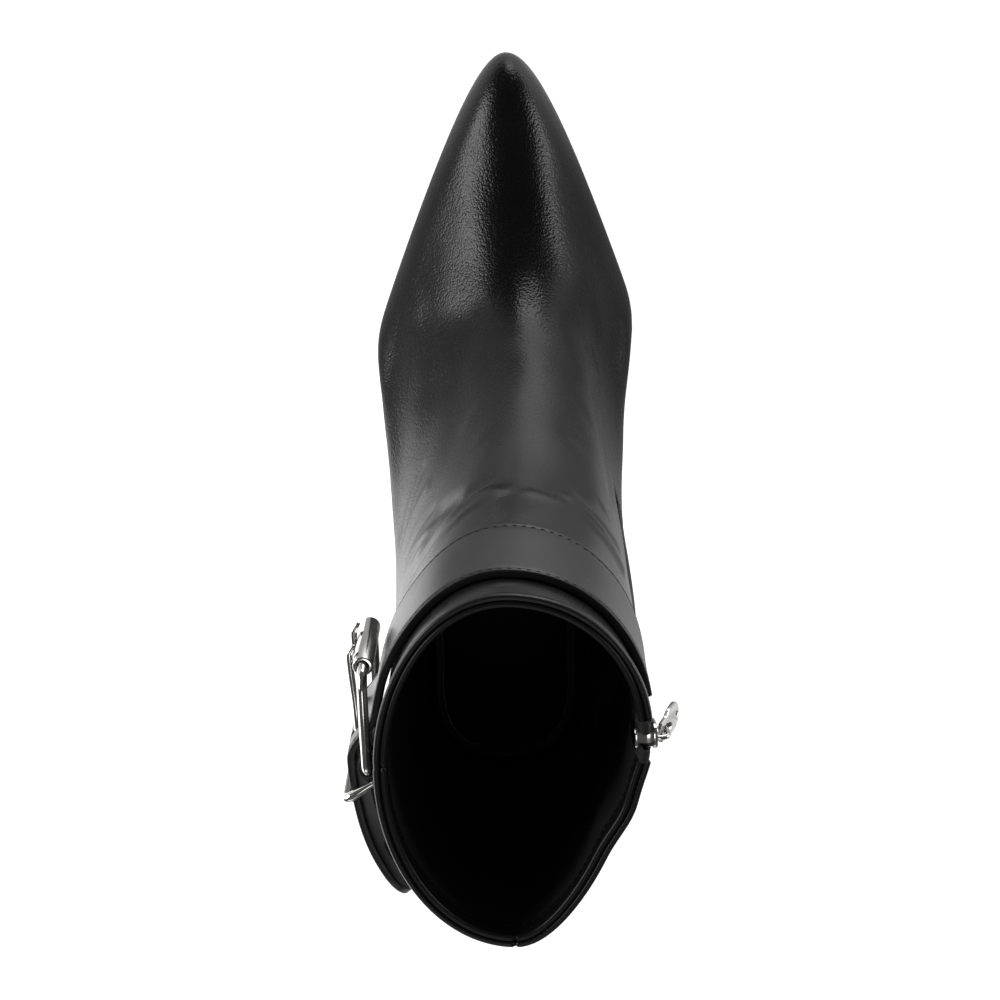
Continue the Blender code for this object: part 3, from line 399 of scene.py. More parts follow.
def skin_frame(level, angle):
    """Points of the upper's outer surface and its outward directions, for arrays of one shape."""
    level, angle = np.broadcast_arrays(np.asarray(level, float), np.asarray(angle, float))
    flat_level, flat_angle = level.ravel(), angle.ravel()
    up = sheet(flat_level + UP_PROBE, flat_angle) - sheet(flat_level - UP_PROBE, flat_angle)
    around = sheet(flat_level, flat_angle + AROUND_PROBE) - sheet(flat_level, flat_angle - AROUND_PROBE)
    out = unit(np.cross(up, around))
    shape = level.shape + (3,)
    return sheet(flat_level, flat_angle).reshape(shape), out.reshape(shape)


def skin(level, angle, lift=0.0):
    """Points lifted off the upper's outer surface."""
    level, angle, lift = np.broadcast_arrays(level, angle, lift)
    point, out = skin_frame(level, angle)
    return point + out * np.asarray(lift, float)[..., None]


def mm_per_radian(level, angle):
    level = np.asarray(level, float)
    step = skin(level, angle + AROUND_PROBE) - skin(level, angle - AROUND_PROBE)
    return np.linalg.norm(step, axis=-1) / (2 * AROUND_PROBE)


class Place:
    """A point over the upper with its own directions: along the ring, up the wall and outwards."""

    def __init__(self, level, angle, lift=0.0):
        self.point = skin(level, angle, lift)
        along = skin(level, angle + AROUND_PROBE, lift) - skin(level, angle - AROUND_PROBE, lift)
        up = skin(level + UP_PROBE, angle, lift) - skin(level - UP_PROBE, angle, lift)
        self.out = unit(np.cross(up, along))
        self.along = unit(along)
        self.up = np.cross(self.along, self.out)

    def at(self, along, up, out):
        along, up, out = (np.asarray(v, float)[..., None] for v in np.broadcast_arrays(along, up, out))
        return self.point + self.along * along + self.up * up + self.out * out


def buckle_place():
    place = Place(STRAP_MIDDLE, HINGE_ANGLE, HINGE_LIFT)
    roller = skin(STRAP_MIDDLE, ROLLER_ANGLE, ROLLER_LIFT)
    low = skin(LEVEL["strap_low"], HINGE_ANGLE, HINGE_LIFT)
    high = skin(LEVEL["strap_high"], HINGE_ANGLE, HINGE_LIFT)
    place.up = unit(high - low)
    reach = roller - place.point
    reach = reach - place.up * reach.dot(place.up)
    place.length = float(np.linalg.norm(reach))
    place.along = unit(reach)
    place.out = np.cross(place.up, place.along)
    return place


def to_frame(points):
    return (np.asarray(points, float).reshape(-1, 3) - ORIGIN) * MM


def add_piece(name, points, faces, finish, sharp=SHARP):
    """A mesh object from points in millimetres, with its faces turned outwards."""
    mesh = bpy.data.meshes.new(name)
    mesh.from_pydata(to_frame(points).tolist(), [], faces)
    work = bmesh.new()
    work.from_mesh(mesh)
    bmesh.ops.recalc_face_normals(work, faces=work.faces)
    work.to_mesh(mesh)
    work.free()
    mesh.shade_smooth()
    mesh.set_sharp_from_angle(angle=math.radians(sharp))
    mesh.materials.append(finish)
    piece = bpy.data.objects.new(name, mesh)
    bpy.context.scene.collection.objects.link(piece)
    return piece


def dress(piece, slot, *nodes, body="boot"):
    """The piece rides its body and stands for its solids; the slot is not used."""
    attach(piece, body)
    if nodes:
        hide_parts(*nodes)
    return piece


def strip_faces(count, sides, start=0, closed=False, caps=True):
    """Faces through closed sections that follow each other, with an end cap on each end."""
    faces = []
    for i in range(count if closed else count - 1):
        a = start + i * sides
        b = start + ((i + 1) % count) * sides
        for j in range(sides):
            k = (j + 1) % sides
            faces.append((a + j, a + k, b + k, b + j))
    if caps and not closed:
        faces.append(tuple(range(start, start + sides)))
        faces.append(tuple(range(start + (count - 1) * sides, start + count * sides)))
    return faces


def loft(name, sections, finish, closed=False, sharp=SHARP):
    sections = np.asarray(sections, float)
    faces = strip_faces(len(sections), sections.shape[1], closed=closed)
    return add_piece(name, sections, faces, finish, sharp)


def shell(name, outer, inner, keep, finish):
    """A wall between two sheets that close round the boot, of the cells that keep marks."""
    rows, around = outer.shape[:2]
    points = np.concatenate([outer.reshape(-1, 3), inner.reshape(-1, 3)])
    offset = rows * around
    i, j = np.nonzero(keep)
    k = (j + 1) % around
    cells = np.stack([i * around + j, i * around + k, (i + 1) * around + k, (i + 1) * around + j], 1)
    sides = np.concatenate([cells[:, [0, 1]], cells[:, [1, 2]], cells[:, [2, 3]], cells[:, [3, 0]]])
    keys = np.sort(sides, 1)
    keys = keys[:, 0] * len(points) + keys[:, 1]
    _, first, uses = np.unique(keys, return_index=True, return_counts=True)
    edge = sides[first[uses == 1]]
    walls = np.stack([edge[:, 1], edge[:, 0], edge[:, 0] + offset, edge[:, 1] + offset], 1)
    faces = np.concatenate([cells, cells[:, ::-1] + offset, walls])
    used, faces = np.unique(faces, return_inverse=True)
    return add_piece(name, points[used], faces.reshape(-1, 4).tolist(), finish, sharp=SHELL_SHARP)


def rod(path, radius, sides=16, closed=False, square=2.0):
    """Sections of a bar along a path; square above 2 flattens its four sides."""
    path = np.asarray(path, float)
    count = len(path)
    radius = np.broadcast_to(radius, (count,))
    if closed:
        ahead = np.roll(path, -1, 0) - np.roll(path, 1, 0)
    else:
        ahead = np.gradient(path, axis=0)
    ahead = unit(ahead)
    turn = np.linspace(0, 2 * math.pi, sides, endpoint=False) + math.pi / sides
    reach = (np.abs(np.cos(turn)) ** square + np.abs(np.sin(turn)) ** square) ** (-1 / square)
    side = np.array(Vector(ahead[0]).orthogonal().normalized())
    sections = []
    for point, tangent, size in zip(path, ahead, radius):
        side = unit(side - tangent * side.dot(tangent))
        other = np.cross(tangent, side)
        ring = np.cos(turn)[:, None] * side + np.sin(turn)[:, None] * other
        sections.append(point + ring * (reach * size)[:, None])
    return np.array(sections)


def smooth_path(points, count):
    """A smooth curve through points, read at even steps."""
    points = np.asarray(points, float)
    knots = np.concatenate([[0.0], np.cumsum(np.linalg.norm(np.diff(points[:, :3], axis=0), axis=1))])
    return read_spline(knots, points, np.linspace(0, knots[-1], count))


def round_ends(path, radius, steps=4):
    """Extra points and radii that close a bar with round ends."""
    path = np.asarray(path, float)
    radius = np.broadcast_to(radius, (len(path),)).astype(float)
    head = unit(path[0] - path[1])
    tail = unit(path[-1] - path[-2])
    turns = np.linspace(0, math.pi / 2, steps + 1)[1:] * CAP_TURN
    front = [path[0] + head * radius[0] * math.sin(t) for t in turns[::-1]]
    back = [path[-1] + tail * radius[-1] * math.sin(t) for t in turns]
    front_radius = [radius[0] * math.cos(t) for t in turns[::-1]]
    back_radius = [radius[-1] * math.cos(t) for t in turns]
    return np.concatenate([front, path, back]), np.concatenate([front_radius, radius, back_radius])


def boolean(target, tool, operation="DIFFERENCE"):
    modifier = target.modifiers.new("boolean", "BOOLEAN")
    modifier.operation = operation
    modifier.solver = "EXACT"
    modifier.object = tool
    graph = bpy.context.evaluated_depsgraph_get()
    mesh = bpy.data.meshes.new_from_object(target.evaluated_get(graph))
    target.modifiers.clear()
    old = target.data
    name = old.name
    target.data = mesh
    bpy.data.meshes.remove(old)
    mesh.name = name
    bpy.data.objects.remove(tool)


def along_path(path, distances):
    """Points of a line at distances along it, for rows of numbers of any width."""
    steps = np.linalg.norm(np.diff(path[:, :3], axis=0), axis=1)
    knots = np.concatenate([[0.0], np.cumsum(steps)])
    return np.stack([np.interp(distances, knots, column) for column in path.T], axis=-1), knots[-1]


def add_rods(name, rods, finish):
    """One mesh of many short bars with the same number of rings."""
    count, sides = rods[0].shape[:2]
    faces = []
    for k in range(len(rods)):
        faces.extend(strip_faces(count, sides, k * count * sides))
    return add_piece(name, np.concatenate([bar.reshape(-1, 3) for bar in rods]), faces, finish)


# Thread: length of a stitch, gap to the next one, radius, and how far its ends sink into the leather
STITCH = 1.75
STITCH_GAP = 1.15
THREAD_RADIUS = 0.30
THREAD_TAPER = 0.7
STITCH_SINK = 0.35
STITCH_RISE = 0.10
STITCH_SIDES = 6
STITCH_RINGS = 5


def sew(name, seams, finish):
    """One mesh of all the stitches of some seams, each a row of points with outward directions."""
    rods = []
    arc = np.sin(np.linspace(0, math.pi, STITCH_RINGS))
    for point, out in seams:
        line = np.concatenate([point, out], axis=1)
        _, total = along_path(line, [0.0])
        pitch = STITCH + STITCH_GAP
        for k in range(int((total - STITCH) / pitch) + 1):
            row, _ = along_path(line, k * pitch + np.linspace(0, STITCH, STITCH_RINGS))
            lift = mix(-STITCH_SINK, STITCH_RISE, arc)
            path = row[:, :3] + unit(row[:, 3:]) * lift[:, None]
            rods.append(rod(path, THREAD_RADIUS * mix(THREAD_TAPER, 1.0, arc), STITCH_SIDES))
    return add_rods(name, rods, finish)


# Upper: leather thickness, rolled collar, seams, and the turned edge of the zip's slot
LEATHER = 1.1
FOLD_WALL = 0.25
ROLL = 1.05
ROLL_BULGE = 0.75
ROLL_STEPS = 10
ROLL_TURN = math.radians(172.0)
ROLL_CORE = 0.15
ROLL_NOTCH = 0.45
ROLL_END = 0.6
NOTCH_WIDTH = 0.55
BULGE_DEPTH = 4.2
SIDE_SEAM = 1.61
SIDE_SEAM_SHIFT = -0.27
SIDE_SEAM_REACH = 0.5
SEAM_DEPTH = 0.55
SEAM_HALF = 0.42
SEAM_SWELL = 0.16
SEAM_SWELL_AT = 1.5
SEAM_SWELL_HALF = 0.9
SEAM_COLUMNS = (0.14, 0.34, 0.62, 1.0, 1.5, 2.2)
SLOT_EDGE = 1.0
SLOT_COLUMNS = (0.0, 0.12, 0.32, 0.62, 1.05, 1.7)
SLOT_END_ROWS = (1.2, 0.7, 0.35, 0.12, 0.0)
SLOT_FLARE = 0.030
SLOT_FLARE_DEPTH = 13.0
SLOT_FLARE_REACH = 0.25
FRONT_STEP = 0.0185
BACK_STEP = 0.030
COLUMN_CLEAR = 0.012
FRONT_FROM = 1.60
FRONT_TO = 4.40
CALM_TOE = 45.0
FOLD_STEPS = 24
FOLD_FADE = 0.3
LEVEL_SLACK = 0.01

# Where the strap covers the upper, folds are left out: start below it, height of the fade, and end above it
COVER_BELOW = 12.0
COVER_FADE = 10.0
COVER_ABOVE = 4.0

# Rows of the upper's mesh: close where the leather folds, wide where the straps cover it
RowSpan = namedtuple("RowSpan", "start stop step")
ROW_SPANS = [
    RowSpan(0.0, 15.0, 1.25),
    RowSpan(15.0, LEVEL["instep"] - 2.0, 1.7),
    RowSpan(LEVEL["instep"] + 1.4, LEVEL["strap_low"] + 2.0, 1.2),
    RowSpan(LEVEL["strap_low"] + 4.0, LEVEL["strap_high"] - 2.0, 3.0),
    RowSpan(LEVEL["strap_high"] - 1.0, COLLAR - 1.4, 1.1),
]


def upper_angles():
    """Columns of the upper's mesh, closer at the front, along the seams and at the zip's slot."""
    front = np.arange(FRONT_FROM, FRONT_TO, FRONT_STEP)
    back = np.arange(FRONT_TO, FRONT_FROM + 2 * math.pi, BACK_STEP)
    base = np.concatenate([front, back])
    lines = []
    for seam in (2 * math.pi, SIDE_SEAM + 2 * math.pi):
        offsets = np.array(SEAM_COLUMNS) / mm_per_radian(COLLAR, seam)
        lines.extend([seam - offsets, [seam], seam + offsets])
    offsets = np.array(SLOT_COLUMNS) / mm_per_radian(COLLAR, ZIP_ANGLE)
    lines.extend([ZIP_ANGLE - ZIP_HALF_ANGLE - offsets, ZIP_ANGLE + ZIP_HALF_ANGLE + offsets])
    lines = np.concatenate(lines)
    clear = np.abs(base[:, None] - lines[None, :]).min(axis=1) > COLUMN_CLEAR
    return np.sort(np.concatenate([base[clear], lines]))


def upper_levels():
    rows = [np.arange(*span) for span in ROW_SPANS]
    rows.append(LEVEL["instep"] - np.array(SLOT_END_ROWS))
    return np.sort(np.concatenate(rows))


def seam_angle(level):
    return SIDE_SEAM + SIDE_SEAM_SHIFT * (1 - level / COLLAR)


def turn_to(angle, line):
    """The angle from a line round the boot, from -pi to pi."""
    return (angle - line + math.pi) % (2 * math.pi) - math.pi


def seam_distance(level, angle, line):
    """Millimetres round the boot from a seam line, row by row."""
    scale = mm_per_radian(level[:, 0], np.broadcast_to(line, level.shape)[:, 0])
    return turn_to(angle, line) * scale[:, None]


def slot_distance(level, angle):
    """Millimetres from the zip's slot."""
    aside = np.maximum(np.abs(turn_to(angle, ZIP_ANGLE)) - ZIP_HALF_ANGLE, 0)
    aside = aside * mm_per_radian(COLLAR, ZIP_ANGLE)
    below = np.maximum(LEVEL["instep"] - level, 0)
    return np.hypot(aside, below)


def fold_relief(point):
    """Height of the listed folds at points of the surface."""
    flat = point.reshape(-1, 3)
    relief = np.zeros(len(flat))
    for fold in FOLDS:
        knots = np.array(fold.path)
        curve = smooth_path(np.column_stack([knots, np.zeros(len(knots))]), FOLD_STEPS)
        line = skin(curve[:, 1], curve[:, 0])
        near = np.full(len(flat), np.inf)
        at = np.zeros(len(flat))
        for k, (a, b) in enumerate(zip(line, line[1:])):
            step = b - a
            share = np.clip(((flat - a) @ step) / (step @ step), 0, 1)
            gap = np.linalg.norm(flat - a - share[:, None] * step, axis=1)
            closer = gap < near
            near = np.where(closer, gap, near)
            at = np.where(closer, (k + share) / (len(line) - 1), at)
        fade = ease(at / FOLD_FADE) * ease((1 - at) / FOLD_FADE)
        relief += fold.height * bump(near, fold.width) * fade
    return relief.reshape(point.shape[:-1])


def wave_relief(point):
    relief = np.zeros(point.shape[:-1])
    for wave in WAVES:
        phase = point @ np.array([wave.x, wave.y, wave.z]) * (2 * math.pi / wave.length)
        relief += wave.height * np.sin(phase + wave.length)
    return relief


def leather_relief(level, point):
    """Folds and slow waves together; the toe is lasted smooth."""
    return fold_relief(point) + wave_relief(point) * ease(level / CALM_TOE)


def slot_flare(level, angle):
    """How far the zip's slot opens towards the collar."""
    turn = turn_to(angle, ZIP_ANGLE)
    rise = ease((level - COLLAR + SLOT_FLARE_DEPTH) / SLOT_FLARE_DEPTH)
    fall = bump(np.maximum(np.abs(turn) - ZIP_HALF_ANGLE, 0), SLOT_FLARE_REACH)
    return np.sign(turn) * SLOT_FLARE * rise * fall


def seam_notch(angle, width):
    """1 on the two upright seams at the collar, falling off beside them."""
    return sum(bump(turn_to(angle, line) * mm_per_radian(COLLAR, line), width) for line in (0.0, SIDE_SEAM))


def make_upper(leather):
    columns = upper_angles()
    rows = upper_levels()
    level, angle = np.meshgrid(rows, columns, indexing="ij")
    slot_gap = np.clip(slot_distance(level, angle), 0, SLOT_EDGE)
    bend = (seam_angle(level) - SIDE_SEAM) * bump(turn_to(angle, SIDE_SEAM), SIDE_SEAM_REACH)
    angle = angle + bend + slot_flare(level, angle)
    point, out = skin_frame(level, angle)
    covered = ease((level - LEVEL["strap_low"] + COVER_BELOW) / COVER_FADE)
    lift = leather_relief(level, point) * (1 - covered * (level < LEVEL["strap_high"] + COVER_ABOVE))
    for line in (np.zeros_like(level), seam_angle(level)):
        gap = np.abs(seam_distance(level, angle, line))
        lift += SEAM_SWELL * bump(gap - SEAM_SWELL_AT, SEAM_SWELL_HALF) - SEAM_DEPTH * bump(gap, SEAM_HALF)
    lift += ROLL_BULGE * ease((level - COLLAR + BULGE_DEPTH) / (BULGE_DEPTH - ROLL))
    lift -= round_off(SLOT_EDGE - slot_gap, SLOT_EDGE)
    outer = point + out * lift[..., None]
    thick = mix(WALL, LEATHER, ease((level - LINING_FROM) / LINING_FROM))
    inner = point + out * np.minimum(lift - FOLD_WALL, -thick)[..., None]

    # the top edge rolls over and ends in the groove beside the lining's own roll
    turns = np.linspace(0, ROLL_TURN, ROLL_STEPS)[:, None]
    top = columns + slot_flare(COLLAR, columns)
    end = SLOT_EDGE - np.clip(slot_distance(np.full_like(columns, COLLAR), columns), 0, SLOT_EDGE)
    radius = ROLL * (1 - ROLL_NOTCH * seam_notch(top, NOTCH_WIDTH)) - ROLL_END * round_off(end, SLOT_EDGE)
    walls = [[outer], [inner]]
    for wall, size in zip(walls, (radius, ROLL_CORE)):
        lift = ROLL_BULGE - ROLL + size * np.cos(turns)
        wall.append(skin(COLLAR - ROLL + size * np.sin(turns), top + 0 * turns, lift))
    outer, inner = (np.concatenate(wall) for wall in walls)
    keep = np.ones((len(outer) - 1, len(columns)), bool)
    middle = columns + np.diff(columns, append=columns[0] + 2 * math.pi) / 2
    slot = np.abs(turn_to(middle, ZIP_ANGLE)) < ZIP_HALF_ANGLE
    keep[np.ix_(np.arange(len(keep)) >= rows.searchsorted(LEVEL["instep"] - LEVEL_SLACK), slot)] = False
    dress(shell("upper_leather", outer, inner, keep, leather), "black_leather", "upper")


# Lining: where it starts over the insole and ends under the facing, and its play against the leather
LINING_TOP = 7.0
LINING_FROM = 3.0
LINING_COLUMNS = 150
LINING_ROWS = 70
LINING_RIPPLE = 1.5
LINING_PLAY = 0.25
LINING_LEAST = 0.12
LINING_BULGE = 0.1


def make_lining(lining):
    """The inner skin, from the insole to under the facing."""
    span = collar_span(LINING_COLUMNS, 0.0)
    rows = np.linspace(2 * LINING_FROM, COLLAR - LINING_TOP, LINING_ROWS)
    rows[np.argmin(np.abs(rows - LEVEL["instep"]))] = LEVEL["instep"]
    level, angle = np.meshgrid(rows, span % (2 * math.pi), indexing="ij")
    point, out = skin_frame(level, angle)
    ripple = wave_relief(point) * LINING_RIPPLE
    outer = point + out * (np.minimum(ripple - LINING_PLAY, -LINING_LEAST) - LEATHER)[..., None]
    inner = point + out * (np.minimum(ripple, LINING_BULGE) - WALL)[..., None]
    keep = np.ones((LINING_ROWS - 1, LINING_COLUMNS), bool)
    keep[rows[:-1] >= LEVEL["instep"] - LEVEL_SLACK, -1] = False
    dress(shell("upper_lining", outer, inner, keep, lining), "insole_lining")


# Facing inside the collar: its roll, and its section as places under the collar and heights
FACING_ROLL = 1.05
FACING_CENTRE = -2.45
FACING_DEPTH = 9.0
FACING_THICK = 0.75
FACING_STITCH = 7.4
FACING_THREAD_LIFT = 0.1
FACING_COLUMNS = 260
FACING_SEAM_POINTS = 400
FACING_END = 0.012
FACING_SEAM_END = 0.05
FACING_NOTCH = 0.4
FACING_NOTCH_DEPTH = 3.0
FACING_NOTCH_FADE = 1.5
FACING_WAVES = ((0.10, 9.0, 0.0), (0.08, 23.0, 1.0))
FACING_WAVE_LEAST = -0.05
FACING_WAVE_FROM = 4.0
FACING_WAVE_FADE = 5.0
FACING_WAVE_SIDE = 0.5
FACING_TURNS = np.linspace(-0.08 * math.pi, 1.02 * math.pi, 14)
NOTCH_COLUMNS = (-0.9, -0.4, -0.15, 0.15, 0.4, 0.9)
FACING_BEHIND = [
    (-FACING_DEPTH, -WALL - 0.08),
    (-5.0, -WALL - 0.02),
    (-2.8, FACING_CENTRE + FACING_ROLL * 0.75),
]
FACING_INSIDE = -WALL - FACING_THICK
FACING_OPEN = [
    (-2.6, -0.12),
    (-4.5, -0.02),
    (-FACING_STITCH + 0.5, 0.0),
    (-FACING_STITCH, 0.16),
    (-FACING_STITCH - 0.5, 0.0),
    (-FACING_DEPTH + 0.3, 0.08),
    (-FACING_DEPTH, 0.35),
]


def collar_span(count, gap):
    """Angles from the rear edge of the zip's slot round the boot to its front edge."""
    start = ZIP_ANGLE + ZIP_HALF_ANGLE + gap
    return np.linspace(start, ZIP_ANGLE - ZIP_HALF_ANGLE - gap + 2 * math.pi, count)


def make_facing(finish):
    """The facing, and the line that it is sewn along."""
    spans = [collar_span(FACING_COLUMNS, FACING_END)]
    for seam in (0.0, SIDE_SEAM):
        spans.append(2 * math.pi + seam + np.array(NOTCH_COLUMNS) / mm_per_radian(COLLAR, seam))
    span = np.sort(np.concatenate(spans))
    profile = list(FACING_BEHIND)
    for turn in FACING_TURNS:
        profile.append((FACING_ROLL * (math.sin(turn) - 1), FACING_CENTRE + FACING_ROLL * math.cos(turn)))
    profile += [(drop, FACING_INSIDE + rise) for drop, rise in FACING_OPEN]
    drop, lift = np.array(profile).T[:, None, :]
    notch = seam_notch(span, NOTCH_WIDTH)[:, None] * ease((drop + FACING_NOTCH_DEPTH) / FACING_NOTCH_FADE)
    lift = lift + (FACING_CENTRE - lift) * notch * FACING_NOTCH
    drop = drop - notch * ROLL_NOTCH
    wave = sum(height * np.sin(span * turns + phase) for height, turns, phase in FACING_WAVES)
    wave = np.maximum(wave, FACING_WAVE_LEAST)[:, None] * (lift < FACING_INSIDE + FACING_WAVE_SIDE)
    lift = lift - wave * ease((-drop - FACING_WAVE_FROM) / FACING_WAVE_FADE)
    angle = (span + slot_flare(COLLAR, span))[:, None]
    sections = skin(COLLAR + drop, angle, lift)
    dress(loft("collar_facing", sections, finish, sharp=SHELL_SHARP), "insole_lining")
    row = collar_span(FACING_SEAM_POINTS, FACING_SEAM_END)
    point, out = skin_frame(np.full_like(row, COLLAR - FACING_STITCH), row)
    return point + out * (FACING_INSIDE + FACING_THREAD_LIFT), -out


# Straps: rounded cut edges, the sewn line along each edge, and the rows of the mesh beside it
STRAP_EDGE = 0.60
STRAP_EDGE_SHARE = 0.38
STRAP_SEAM = 1.5
STRAP_DENT = 0.34
STRAP_DENT_HALF = 0.5
STRAP_DENT_ROWS = (0.75, 0.5, 0.26, 0.0, -0.26, -0.5, -0.75)
STRAP_CROWN = 0.22
STRAP_STEP = 0.023
STRAP_ACROSS = 16
STRAP_UNDER = 8
STRAP_FLAT_GAP = 1.7
STRAP_SHARP = 50.0
THREAD_CROWN = 0.6
END_ROUND = 0.55
END_STEPS = np.array([0.0, 0.05, 0.15, 0.3, 0.55])
END_START = 0.03
END_THIN = 1.6
END_LIFT = 0.8
TIP_STEPS = 14
TIP_TURN = 1.45
TIP_CLEAR = 0.004
TIP_SLACK = 0.01
PUNCH_DEPTH = 16.0
PUNCH_SIDES = 28
TAIL_PUNCH = 2.2
SEAM_POINTS = 500
SEAM_CORNER_POINTS = 24
SEAM_END = 0.05
EYE_SWELL_STEPS = 12
EYE_CAP = np.linspace(0.0, 1.35, 10)[1:]
EYE_SIDES = 32


def strap_profile(half, thick):
    """Rows across a strap: places up the wall and heights over its back."""
    edge = min(STRAP_EDGE, thick * STRAP_EDGE_SHARE)
    seam = half - STRAP_SEAM
    beside = np.array(STRAP_DENT_ROWS)
    middle = np.linspace(-1, 1, STRAP_ACROSS) * (seam - STRAP_FLAT_GAP)
    flat = np.concatenate([[edge - half], -seam - beside, middle, seam - beside, [half - edge]])
    face = thick - STRAP_CROWN * np.abs(flat / half) ** 4
    face -= STRAP_DENT * bump(np.abs(flat) - seam, STRAP_DENT_HALF)
    turn = np.linspace(0, math.pi / 2, ARC_STEPS)
    brow = half - edge + edge * np.sin(turn[1:]), face[-1] - edge + edge * np.cos(turn[1:])
    chin = half - edge + edge * np.cos(turn[:-1]), edge - edge * np.sin(turn[:-1])
    under = np.linspace(1, -1, STRAP_UNDER) * (half - edge)
    rows = np.concatenate([flat, brow[0], chin[0], under, -chin[0][::-1], -brow[0][::-1]])
    lifts = np.concatenate([face, brow[1], chin[1], 0 * under, chin[1][::-1], brow[1][::-1]])
    return rows, lifts


def strap_piece(name, angles, lifts, thicks, halves, finish):
    levels = []
    heights = []
    for lift, thick, half in zip(lifts, thicks, halves):
        rows, high = strap_profile(half, thick)
        levels.append(STRAP_MIDDLE + rows)
        heights.append(lift + high)
    angles = np.broadcast_to(np.asarray(angles)[:, None], np.shape(levels))
    return loft(name, skin(np.array(levels), angles, np.array(heights)), finish, sharp=STRAP_SHARP)


def glide(x, table):
    """Values that ease from row to row of a table of positions and values."""
    x = np.asarray(x, float)
    value = np.full(x.shape, table[0][1], float)
    for (x0, v0), (x1, v1) in zip(table, table[1:]):
        value += (v1 - v0) * ease((x - x0) / (x1 - x0))
    return value


def end_shape(distance):
    """How much a strap's cut end narrows close to the cut."""
    return round_off(np.clip(END_ROUND - distance, 0, END_ROUND), END_ROUND)


ANKLE_LIFTS = [
    (-ZIP_ANGLE, STRAP_LIFT),
    (-STRAP_LEAVES_ANGLE, STRAP_LIFT),
    (-ROLLER_ANGLE, UNDER_LIFT),
    (-RISE_FRONT_ANGLE, UNDER_LIFT),
    (-RISE_REAR_ANGLE, OVER_LIFT),
    (-HINGE_ANGLE, OVER_LIFT),
    (-TAIL_SETTLE_ANGLE, TAIL_LIFT),
]
BUCKLE_STRAP_LIFTS = [
    (ZIP_ANGLE, STRAP_LIFT),
    (2 * math.pi + BUCKLE_STRAP_LEAVES_ANGLE, STRAP_LIFT),
    (2 * math.pi + BUCKLE_STRAP_RAISED_ANGLE, BUCKLE_STRAP_LIFT),
]


def punch(point, place, depth, finish):
    """An oval cutter through a strap, along it."""
    half = (HOLE_LENGTH - HOLE_WIDTH) / 2
    turn = 2 * math.pi * (np.arange(PUNCH_SIDES) + 0.5) / PUNCH_SIDES
    u = np.where(np.cos(turn) > 0, half, -half) + HOLE_WIDTH / 2 * np.cos(turn)
    v = HOLE_WIDTH / 2 * np.sin(turn)
    sections = []
    for out in (-depth / 2, depth / 2):
        sections.append(point + u[:, None] * place.along + v[:, None] * place.up + out * place.out)
    return loft("punch", sections, finish)


def tail_half(rest):
    cut = round_off(np.clip(STRAP_TIP_ROUND - rest, 0, STRAP_TIP_ROUND), STRAP_TIP_ROUND)
    return STRAP_HALF - cut * STRAP_TIP_BOW


def make_ankle_strap(finish, buckle):
    start = ZIP_ANGLE - ZIP_HALF_ANGLE - STRAP_END_GAP
    scale = float(mm_per_radian(STRAP_MIDDLE, STRAP_TIP_ANGLE))
    start_scale = float(mm_per_radian(STRAP_MIDDLE, start))
    tip = STRAP_TIP_ANGLE + END_STEPS[::-1] / scale
    corner = STRAP_TIP_ANGLE + STRAP_TIP_ROUND * (1 - np.sin(np.linspace(0, TIP_TURN, TIP_STEPS))) / scale
    middle = np.arange(start - END_START, corner[0] + TIP_SLACK, -STRAP_STEP)
    corner = corner[corner > tip[0] + TIP_CLEAR]
    angles = np.concatenate([start - END_STEPS / start_scale, middle, corner, tip])
    rest = (angles - STRAP_TIP_ANGLE) * scale
    cut = np.maximum(end_shape((start - angles) * start_scale), end_shape(rest))
    lifts = glide(-angles, ANKLE_LIFTS) + END_LIFT * cut
    thicks = STRAP_THICK - END_THIN * cut
    strap = strap_piece("ankle_strap_leather", angles, lifts, thicks, tail_half(rest) - cut, finish)
    for spread in (-PRONG_SPREAD, PRONG_SPREAD):
        boolean(strap, punch(buckle.at(HOLE_AT, spread, 0.0), buckle, PUNCH_DEPTH, finish))
        for k in range(TAIL_HOLES):
            angle = KEEPER_ANGLE - (TAIL_HOLE_START + k * HOLE_PITCH) / scale
            place = Place(STRAP_MIDDLE, angle, TAIL_LIFT + STRAP_THICK)
            boolean(strap, punch(place.at(0.0, spread, 0.0), place, TAIL_PUNCH * STRAP_THICK, finish))
    strap.data.set_sharp_from_angle(angle=math.radians(STRAP_SHARP))
    dress(strap, "black_leather", "ankle_strap")
    return ankle_seams(start, scale)


def strap_line(levels, angles, lifts):
    """Points and outward directions of a sewn line on a strap's face."""
    point, out = skin_frame(levels, angles)
    height = lifts + STRAP_THICK - STRAP_DENT - STRAP_CROWN * THREAD_CROWN
    return point + out * np.asarray(height)[:, None], out


def ankle_seams(start, scale):
    """One sewn line along the lower edge, round the strap's free end and back along the upper edge."""
    reach = STRAP_HALF - STRAP_SEAM
    inset = STRAP_TIP_ROUND - STRAP_SEAM
    straight = np.linspace(start - SEAM_END, STRAP_TIP_ANGLE + STRAP_TIP_ROUND / scale, SEAM_POINTS)
    turn = np.linspace(0, math.pi / 2, SEAM_CORNER_POINTS)
    corner = STRAP_TIP_ANGLE + (STRAP_TIP_ROUND - inset * np.sin(turn)) / scale
    half_line = np.concatenate([straight, corner])
    half_rise = np.concatenate([np.full(SEAM_POINTS, reach), reach - inset + inset * np.cos(turn)])
    angles = np.concatenate([half_line, half_line[::-1]])
    levels = np.concatenate([-half_rise, half_rise[::-1]])
    return strap_line(STRAP_MIDDLE + levels, angles, glide(-angles, ANKLE_LIFTS))


